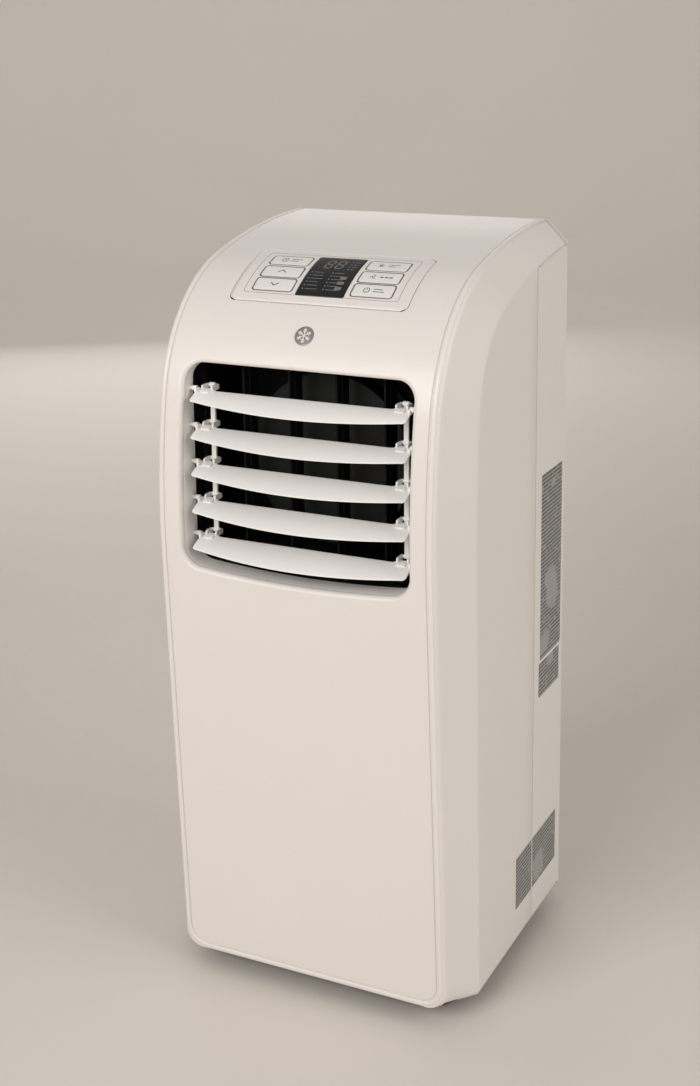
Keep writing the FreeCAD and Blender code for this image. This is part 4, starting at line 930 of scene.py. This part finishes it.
def blade_skin(index):
    """A blade: a closed section from its rounded front edge to its rear edge, carried from end to end. The front
    edge bows forward and its ends are rounded; the rear edge steps back near the ends."""
    front_end = -15.5 - 0.6 * index
    x = np.concatenate([np.linspace(0, 84, 15), np.linspace(86, 94, 6), np.linspace(95.5, 102.5, 8),
                        [103.3, 103.8, VANE_HALF]])
    x = np.concatenate([-x[:0:-1], x])
    ax = np.abs(x)
    front = front_end - 9.5 * (1 - np.clip(ax / 99.0, 0, 1) ** 2)
    corner = np.clip((ax - 99.8) / 4.2, 0, 1)
    front = front + 4.0 * (1 - np.sqrt(1 - 0.999 * corner ** 2))
    step = np.clip((ax - 85.0) / 5.0, 0, 1)
    rear = 2.6 + 3.6 * step * step * (3 - 2 * step) - 2.5 * np.clip((ax - 100.0) / 4.0, 0, 1) ** 2
    thickness = 1.1 * np.sqrt(np.clip(1 - np.clip((ax - 102.6) / 1.4, 0, 1) ** 2, 0, 1))
    t = np.linspace(0, 2 * math.pi, 28, endpoint=False)
    chord = 0.5 * (1 - np.cos(t))
    body = np.sign(np.sin(t)) * np.abs(np.sin(t)) ** 0.55
    slim = 0.72 + 0.28 * np.clip(chord / 0.35, 0, 1)
    y = front[:, None] + (rear - front)[:, None] * chord[None, :]
    camber = -0.9 * np.clip((-y - 6.0) / 20.0, 0, 1.5) ** 2
    rise = thickness[:, None] * (body * slim)[None, :] + camber
    c, s = math.cos(VANE_TILT), math.sin(VANE_TILT)
    xx = np.repeat(x[:, None], len(t), axis=1)
    return xx, y * c - rise * s, y * s + rise * c - VANE_DROP


def on_blade(low, high, z0):
    """A soft block given in the blade's own chord and height, tilted with it."""
    verts, quads = bar(low, high, 0.35, 5.0, 16)
    x, chord, up = verts.T * 1000.0
    chord = chord + CENTRE_Y
    c, s = math.cos(VANE_TILT), math.sin(VANE_TILT)
    y, z = VANE_PIVOT_Y + chord * c - up * s, z0 - VANE_DROP + chord * s + up * c
    return place(x, y, z), quads


def blade(index):
    """A louvre blade with its two hinge ears, their pins, and the clips that hold the link rods."""
    pivot_y, pivot_z = VANE_PIVOT_Y, VANE_TOP_Z - index * VANE_PITCH
    rod_y, rod_z = pivot_y + ROD_PIN_Y, pivot_z + ROD_PIN_Z
    x, y, z = blade_skin(index)
    grids = [grid(place(x, y + pivot_y, z + pivot_z), wrap=True)]
    for sign in (-1, 1):
        ear, rod = sign * (VANE_HALF - 1.3), sign * ROD_X
        low, high = (ear - 1.2, pivot_y - 3.9, pivot_z - 4.4), (ear + 1.2, pivot_y + 3.9, pivot_z + 0.8)
        grids.append(bar(low, high, 0.5, 3.0))
        for reach, radius in ((106.8, 2.3), (110.6, 1.9)):
            grids.append(peg((ear, pivot_y, pivot_z), (sign * reach, pivot_y, pivot_z), radius))
        for clip in (rod - 4.9, rod + 4.9):
            low, high = (clip - 0.9, pivot_y + 1.5, pivot_z - 2.4), (clip + 0.9, rod_y + 1.8, rod_z + 1.4)
            grids.append(bar(low, high, 0.4, 5.0))
        grids.append(on_blade((rod - 4.3, -3.0, 0.6), (rod + 4.3, 2.4, 2.3), pivot_z))
        grids.append(peg((rod - 5.7, rod_y, rod_z), (rod + 5.7, rod_y, rod_z), 1.3, 0.3))
    name = "vane_%d" % (index + 1)
    piece("louvre_blade_%d" % (index + 1), grids, body_of_node(name), "louvre_white", sharp=50, replaces=(name,))


def link_rod(side, sign):
    """An upright flat rod behind the blades' clips: a soft block with a round boss at each clip's pin."""
    x, y = sign * ROD_X, VANE_PIVOT_Y + ROD_PIN_Y
    top = VANE_TOP_Z + ROD_PIN_Z
    grids = [bar((x - 2.3, y - 1.3, top - 4 * VANE_PITCH - 2.2), (x + 2.3, y + 1.3, top + 2.2), 0.5, 5.0)]
    for index in range(5):
        pin = top - index * VANE_PITCH
        grids.append(peg((x - 2.6, y, pin), (x + 2.6, y, pin), 2.3, 0.3))
    node = "link_rod_" + side
    piece("link_rod_skin_" + side, grids, body_of_node(node), "louvre_white", sharp=50, replaces=(node,))


for index in range(5):
    blade(index)
for side, sign in (("left", -1), ("right", 1)):
    link_rod(side, sign)


# ---------------------------------------------------------------- control panel

def rounded_depth(x, s, centre, half, corner):
    """Signed distance to a rounded rectangle: negative inside."""
    dx = np.abs(x - centre[0]) - (half[0] - corner)
    ds = np.abs(s - centre[1]) - (half[1] - corner)
    return np.hypot(np.clip(dx, 0, None), np.clip(ds, 0, None)) + np.minimum(np.maximum(dx, ds), 0) - corner


def fine_lines(low, high, step, edges):
    """Even lines with extra ones close to each edge."""
    parts = [np.arange(low, high, step), [high]]
    for reach, count in ((0.9, 8), (3.3, 12)):
        parts += [np.linspace(e - reach, e + reach, count) for e in edges]
    lines = np.unique(np.round(np.concatenate(parts), 3))
    lines = lines[(lines >= low) & (lines <= high)]
    return lines[np.concatenate([[True], np.diff(lines) > 0.06])]


DISPLAY_MID = 0.5 * (DISPLAY_S[0] + DISPLAY_S[1])
DISPLAY_H = 0.5 * (DISPLAY_S[1] - DISPLAY_S[0])


def control_face():
    """The control panel's plate: the front face inside a rounded outline, with a well sunk for each key and for
    the display window."""
    half = PANEL_HALF - 0.4
    low, high = PANEL_S[0] + 0.4, PANEL_S[1] - 0.4
    key_sides = [sx * KEY_X + e * KEY_HALF[0] for sx in (-1, 1) for e in (-1, 1)]
    key_ends = [r + e * KEY_HALF[1] for r in KEY_ROWS for e in (-1, 1)]
    xs = fine_lines(-half, half, 4.0, key_sides + [-DISPLAY_HALF, DISPLAY_HALF])
    ss = fine_lines(low, high, 3.0, key_ends + list(DISPLAY_S))
    corner = PANEL_R - 0.4
    near = np.clip(corner - np.minimum(ss - low, high - ss), 0.0, corner)
    reach = half - (corner - np.sqrt(corner ** 2 - near ** 2))
    x = np.clip(xs[None, :], -reach[:, None], reach[:, None])
    s = np.repeat(ss[:, None], len(xs), axis=1)
    out = np.zeros(x.shape)
    wells = [((sx * KEY_X, row), KEY_HALF, KEY_R, KEY_WELL) for sx in (-1, 1) for row in KEY_ROWS]
    wells.append(((0.0, DISPLAY_MID), (DISPLAY_HALF, DISPLAY_H), 1.6, 1.2))
    for centre, well_half, well_corner, deep in wells:
        d = rounded_depth(x, s, centre, well_half, well_corner)
        out = np.minimum(out, -deep * np.clip(0.5 - d / 0.25, 0, 1))
    return grid(on_face(x, s, out), outward=(0, -1, 0.7))


thick(piece("control_face", [control_face()], "cabinet", "panel_white", closed=False, sharp=40,
            replaces=("control_plate",)), 1.2)


def dash(start, end, rise, width=0.8):
    """A level stroke of a key's mark."""
    return [(start, rise), (end, rise)], width


def key_mark(name):
    """The generic mark printed on a key, as strokes in millimetres from the key's middle."""
    if name in ("key_up", "key_down"):
        way = 1.0 if name == "key_up" else -1.0
        return [([(-4.2, -1.6 * way), (0, 1.7 * way), (4.2, -1.6 * way)], 1.0)]
    if name == "key_timer":
        ring, hands = arc_points((-6.5, 0.0), 3.1, 0, 342, 20), [(-6.5, 1.9), (-6.5, 0.0), (-5.0, -0.7)]
        return [(ring, 0.6), (hands, 0.6), dash(0.5, 11.5, 1.5), dash(0.5, 8.0, -1.5)]
    if name == "key_mode":
        hub = np.array([-7.5, 0.0])
        arms = [3.2 * np.array([math.cos(a), math.sin(a)]) for a in np.radians([30, 90, 150])]
        return [([hub - arm, hub + arm], 0.6) for arm in arms] + [dash(0.0, 11.0, 1.5), dash(0.0, 7.0, -1.5)]
    if name == "key_speed":
        marks = []
        for turn in (0, 120, 240):
            hub = (-7.5 + 1.5 * math.sin(math.radians(turn)), 1.5 * math.cos(math.radians(turn)))
            marks.append((arc_points(hub, 1.5, turn, turn + 170, 8), 0.6))
        return marks + [dash(start, end, 0.0, 1.6) for start, end in ((0.0, 3.0), (4.8, 7.8), (9.6, 12.4))]
    ring, stem = arc_points((-6.5, 0.0), 2.9, 32, 328, 18), [(-6.5, 3.6), (-6.5, 0.6)]
    return [(ring, 0.7), (stem, 0.7), dash(0.5, 9.5, 1.5), dash(0.5, 11.5, -1.5)]


KEYS = {}
for sx, names in ((-1, ("key_timer", "key_up", "key_down")), (1, ("key_mode", "key_speed", "key_power"))):
    for name, row in zip(names, KEY_ROWS):
        KEYS[name] = (sx * KEY_X, row)

# The dark rings round the keys' wells are painted shade of the gaps round the keys; with them go a thin dark frame
# line across the panel and a dark line round the display window.
gap_shade_and_lines = []
for name, centre in KEYS.items():
    rides_on = body_of_node(name)
    half = (KEY_HALF[0] - 0.55, KEY_HALF[1] - 0.55)
    cap = pad(on_face, centre, half, KEY_R - 0.5, KEY_PROUD - 0.1, -1.6, 0.45, 0.14)
    piece("cap_" + name, [cap], rides_on, "key_white", replaces=(name,))
    marks = []
    for points, width in key_mark(name):
        points = np.asarray(points, float) * (0.92, 1.0) + centre
        marks.append(stroke(on_face, points, width, KEY_PROUD + 0.12, 0.2))
    paint(piece("print_" + name, marks, rides_on, "key_white"), "ink_and_gap_shade_grey")
    # painted shade of the gap round this key
    gap_shade_and_lines.append(ring_band(on_face, centre, KEY_HALF, KEY_R, 0.12, 0.95, 0.05, -0.2))
gap_shade_and_lines.append(ring_band(on_face, (0.0, 677.0), (75.0, 31.0), 3.0, -0.18, 0.18, 0.04, -0.2, per_side=24))
gap_shade_and_lines.append(ring_band(on_face, (0.0, DISPLAY_MID), (DISPLAY_HALF, DISPLAY_H), 1.6, 0.1, 0.5, 0.05, -0.2,
                          per_side=24))
paint(piece("panel_gap_shade_and_lines", gap_shade_and_lines, "cabinet", "panel_white"), "ink_and_gap_shade_grey")

glass = pad(on_face, (0.0, DISPLAY_MID), (DISPLAY_HALF - 0.15, DISPLAY_H - 0.15), 1.5, 0.12, -1.1, 0.3,
            rings=8, per_side=20)
piece("display_glass_cover", [glass], body_of_node("display_window"), "display_glass",
      replaces=("display_window",))


def digit(centre, width, height):
    """The seven bars of a digit that leans a little, each kept short of its corners."""
    w, h = 0.5 * width, 0.5 * height
    slant, short = 0.12, 1.0
    ends = (((-w, h), (w, h)), ((-w, 0), (w, 0)), ((-w, -h), (w, -h)),
            ((-w, h), (-w, 0)), ((w, h), (w, 0)), ((-w, 0), (-w, -h)), ((w, 0), (w, -h)))
    made = []
    for start, end in ends:
        a, b = np.array(start, float), np.array(end, float)
        along = (b - a) / np.linalg.norm(b - a)
        line = np.array([a + along * short, b - along * short])
        line[:, 0] += slant * line[:, 1]
        made.append(stroke(on_face, line + centre, 1.5, 0.16, 0.0, steps=3))
    return made


def lamp(x, s):
    """A small round lamp under the glass."""
    return pad(on_face, (x, s), (0.8, 0.8), 0.79, 0.2, 0.0, 0.15, rings=1, per_side=1, per_corner=3)


def tick(start, end, s, **more):
    """A short level line beside a lamp."""
    return stroke(on_face, [(start, s), (end, s)], 0.7, 0.16, 0.0, **more)


digits = digit((-8.0, 691.5), 6.4, 13.0) + digit((2.6, 691.5), 6.4, 13.0)
paint(piece("display_digits", digits, "cabinet", "display_glass"), "segment_grey")
lamps = []
for row in range(4):
    s = 697.0 - 4.2 * row
    lamps += [lamp(12.4, s), tick(14.6, 19.2 - (row % 2) * 1.3, s)]
for column in (-10.0, 10.0):
    for row in range(6):
        s = 677.5 - 4.6 * row
        lamps += [lamp(column - 9.2, s), tick(column - 7.0, column + 1.6 + (row % 3) * 1.4, s, steps=2)]
for row in range(3):
    lamps.append(pad(on_face, (14.0, 671.0 - 7.0 * row), (3.2, 2.0), 0.6, 0.16, 0.0, 0.1, rings=1, per_side=2,
                     per_corner=2))
paint(piece("display_lamps", lamps, "cabinet", "display_glass"), "lamp_white")


# ---------------------------------------------------------------- badge

def crystal():
    """Six arms with two pairs of side branches each."""
    arms = []
    for turn in np.radians(np.arange(0, 360, 60)):
        spin = np.array([[math.cos(turn), math.sin(turn)], [-math.sin(turn), math.cos(turn)]])
        lines = [[(0, 0.4), (0, 6.6)]]
        for at, reach in ((2.9, 1.5), (4.7, 1.3)):
            lines += [[(0, at), (side * reach, at + reach)] for side in (-1, 1)]
        for line in lines:
            arms.append(stroke(on_face, np.asarray(line, float) @ spin + (0.0, BADGE_S), 0.75, 1.15, 0.5))
    return arms


badge = [pad(on_face, (0.0, BADGE_S), (9.0, 9.0), 8.99, 0.75, -0.2, 0.5, rings=4, per_side=1, per_corner=12)]
badge.append(ring_band(on_face, (0.0, BADGE_S), (8.0, 8.0), 7.99, -0.45, 0.3, 1.0, 0.4, per_side=1,
                       per_corner=12))
piece("badge_disc", badge, "cabinet", "badge_grey", replaces=("badge",))
piece("badge_crystal", crystal(), "cabinet", "panel_white")


# ---------------------------------------------------------------- labels on the right flank

def flank_label(name, y, z):
    """A thin silver label on the flank between two depths and two heights."""
    centre = (0.5 * (y[0] + y[1]), 0.5 * (z[0] + z[1]))
    half = (0.5 * (y[1] - y[0]), 0.5 * (z[1] - z[0]))
    sheet = pad(on_flank, centre, half, 1.2, 0.16, -0.1, 0.06, rings=2, per_side=3, per_corner=4)
    paint(piece(name, [sheet], "cabinet", "case_white"), "silver_label")


flank_label("label_upper", (75.0, 133.0), (280.0, 463.0))
flank_label("label_middle", (72.0, 130.0), (243.0, 277.0))
flank_label("label_low_front", (14.0, 56.6), (52.5, 104.5))
flank_label("label_low_rear", (59.6, 126.0), (52.5, 104.5))


# ---------------------------------------------------------------- softened copies of the moulded pieces

for node, width in (("rear_cover", 1.6), ("rear_grip", 0.6), ("intake_grille", 0.5), ("lower_grille", 0.5),
                    ("exhaust_collar", 0.6), ("drain_plug", 0.5), ("cord_gland", 0.5), ("base_pan", 0.5),
                    ("rear_screws", 0.25)):
    softened(node, width)
for i in range(1, 5):
    softened("caster_fork_%d" % i, 0.35)


# ---------------------------------------------------------------- floor, lights and camera

def pale_floor():
    """A pale, slightly uneven, fairly dull floor."""
    material, tree, shader = tree_of("pale_floor")
    where = tree.nodes.new("ShaderNodeTexCoord").outputs["Object"]
    soft = noise(tree, where, 1.6, 3.0)
    colour = mix_colour(tree, soft, (0.68, 0.635, 0.585, 1), (0.72, 0.675, 0.625, 1))
    rough = remap(tree, noise(tree, where, 60.0, 3.0), 0.3, 0.7, 0.5, 0.62)
    feed(tree, shader, {"Base Color": colour, "Roughness": rough})
    return material


def studio_floor():
    """A round floor whose rim bends up into a wall: a flat run, a quarter circle and an upright run, turned about
    the upright axis. The sheet stays open above."""
    bend = np.linspace(0.0, 0.5 * math.pi, 13)
    out = np.concatenate([[0.0], np.linspace(0.6, 4.0, 7), 4.0 + 2.0 * np.sin(bend[1:]), [6.0]])
    up = np.concatenate([np.zeros(8), 2.0 - 2.0 * np.cos(bend[1:]), [3.4]]) - 0.0002
    turn = np.linspace(0.0, 2 * math.pi, 73)[:-1]
    x, y = out[:, None] * np.cos(turn), out[:, None] * np.sin(turn)
    points = np.stack([x, y, np.repeat(up[:, None], len(turn), axis=1)], axis=-1)
    verts, quads = grid(points, wrap=True, outward=(0, 0, 1))
    mesh = bpy.data.meshes.new("studio_floor")
    mesh.from_pydata(verts.tolist(), [], quads.tolist())
    work = bmesh.new()
    work.from_mesh(mesh)
    bmesh.ops.remove_doubles(work, verts=work.verts, dist=1e-5)
    work.to_mesh(mesh)
    work.free()
    finish_mesh(mesh, 60)
    floor = bpy.data.objects.new("studio_floor", mesh)
    bpy.context.scene.collection.objects.link(floor)
    mesh.materials.append(pale_floor())


def area_light(name, at, aim, size, power, colour):
    """A rectangular lamp at a point, turned to face another."""
    light = bpy.data.lights.new(name, "AREA")
    light.shape = "RECTANGLE"
    light.size, light.size_y = size
    light.energy = power
    light.color = colour
    obj = bpy.data.objects.new(name, light)
    bpy.context.scene.collection.objects.link(obj)
    obj.location = at
    obj.rotation_mode = "QUATERNION"
    obj.rotation_quaternion = (Vector(aim) - Vector(at)).to_track_quat("-Z", "Y")


def studio_camera():
    """The camera stands 1.5 m off to the right of the front, above the top, and looks slightly down."""
    azimuth, elevation, roll = (math.radians(v) for v in (26.117, 11.237, -0.672))
    level = math.cos(elevation)
    back = Vector((math.sin(azimuth) * level, -math.cos(azimuth) * level, math.sin(elevation)))
    right = (-back).cross(Vector((0, 0, 1))).normalized()
    up = right.cross(-back)
    turned_right = right * math.cos(roll) + up * math.sin(roll)
    turned_up = up * math.cos(roll) - right * math.sin(roll)
    data = bpy.data.cameras.new("studio_camera")
    data.lens = 54.12
    data.sensor_width = 36.0
    data.sensor_fit = "AUTO"
    data.shift_x = 0.0019
    data.shift_y = -0.183
    data.clip_start, data.clip_end = 0.05, 50.0
    camera = bpy.data.objects.new("studio_camera", data)
    bpy.context.scene.collection.objects.link(camera)
    camera.matrix_world = Matrix((
        (turned_right.x, turned_up.x, back.x, 0.63608),
        (turned_right.y, turned_up.y, back.y, -1.32551),
        (turned_right.z, turned_up.z, back.z, 0.88129),
        (0, 0, 0, 1)))
    bpy.context.scene.camera = camera


studio_floor()
studio_camera()
area_light("key_light", (-0.7, -2.9, 1.75), (0, 0, 0.4), (2.0, 1.6), 59.0, (1.0, 0.985, 0.96))
area_light("side_light", (2.7, -0.5, 1.5), (0, 0, 0.35), (1.8, 1.8), 31.0, (1.0, 0.98, 0.955))
area_light("backdrop_light", (-1.2, 2.2, 3.0), (-2.8, 5.3, 1.2), (2.4, 1.2), 34.0, (1.0, 0.985, 0.96))
area_light("back_light", (-1.6, 2.4, 1.0), (0, 0, 0.35), (1.8, 1.6), 9.0, (1.0, 0.99, 0.975))
world = bpy.data.worlds.new("studio")
bpy.context.scene.world = world
world.use_nodes = True
world.node_tree.nodes["Background"].inputs["Color"].default_value = (0.80, 0.775, 0.74, 1)
world.node_tree.nodes["Background"].inputs["Strength"].default_value = 0.5
bpy.context.scene.view_settings.view_transform = "Standard"
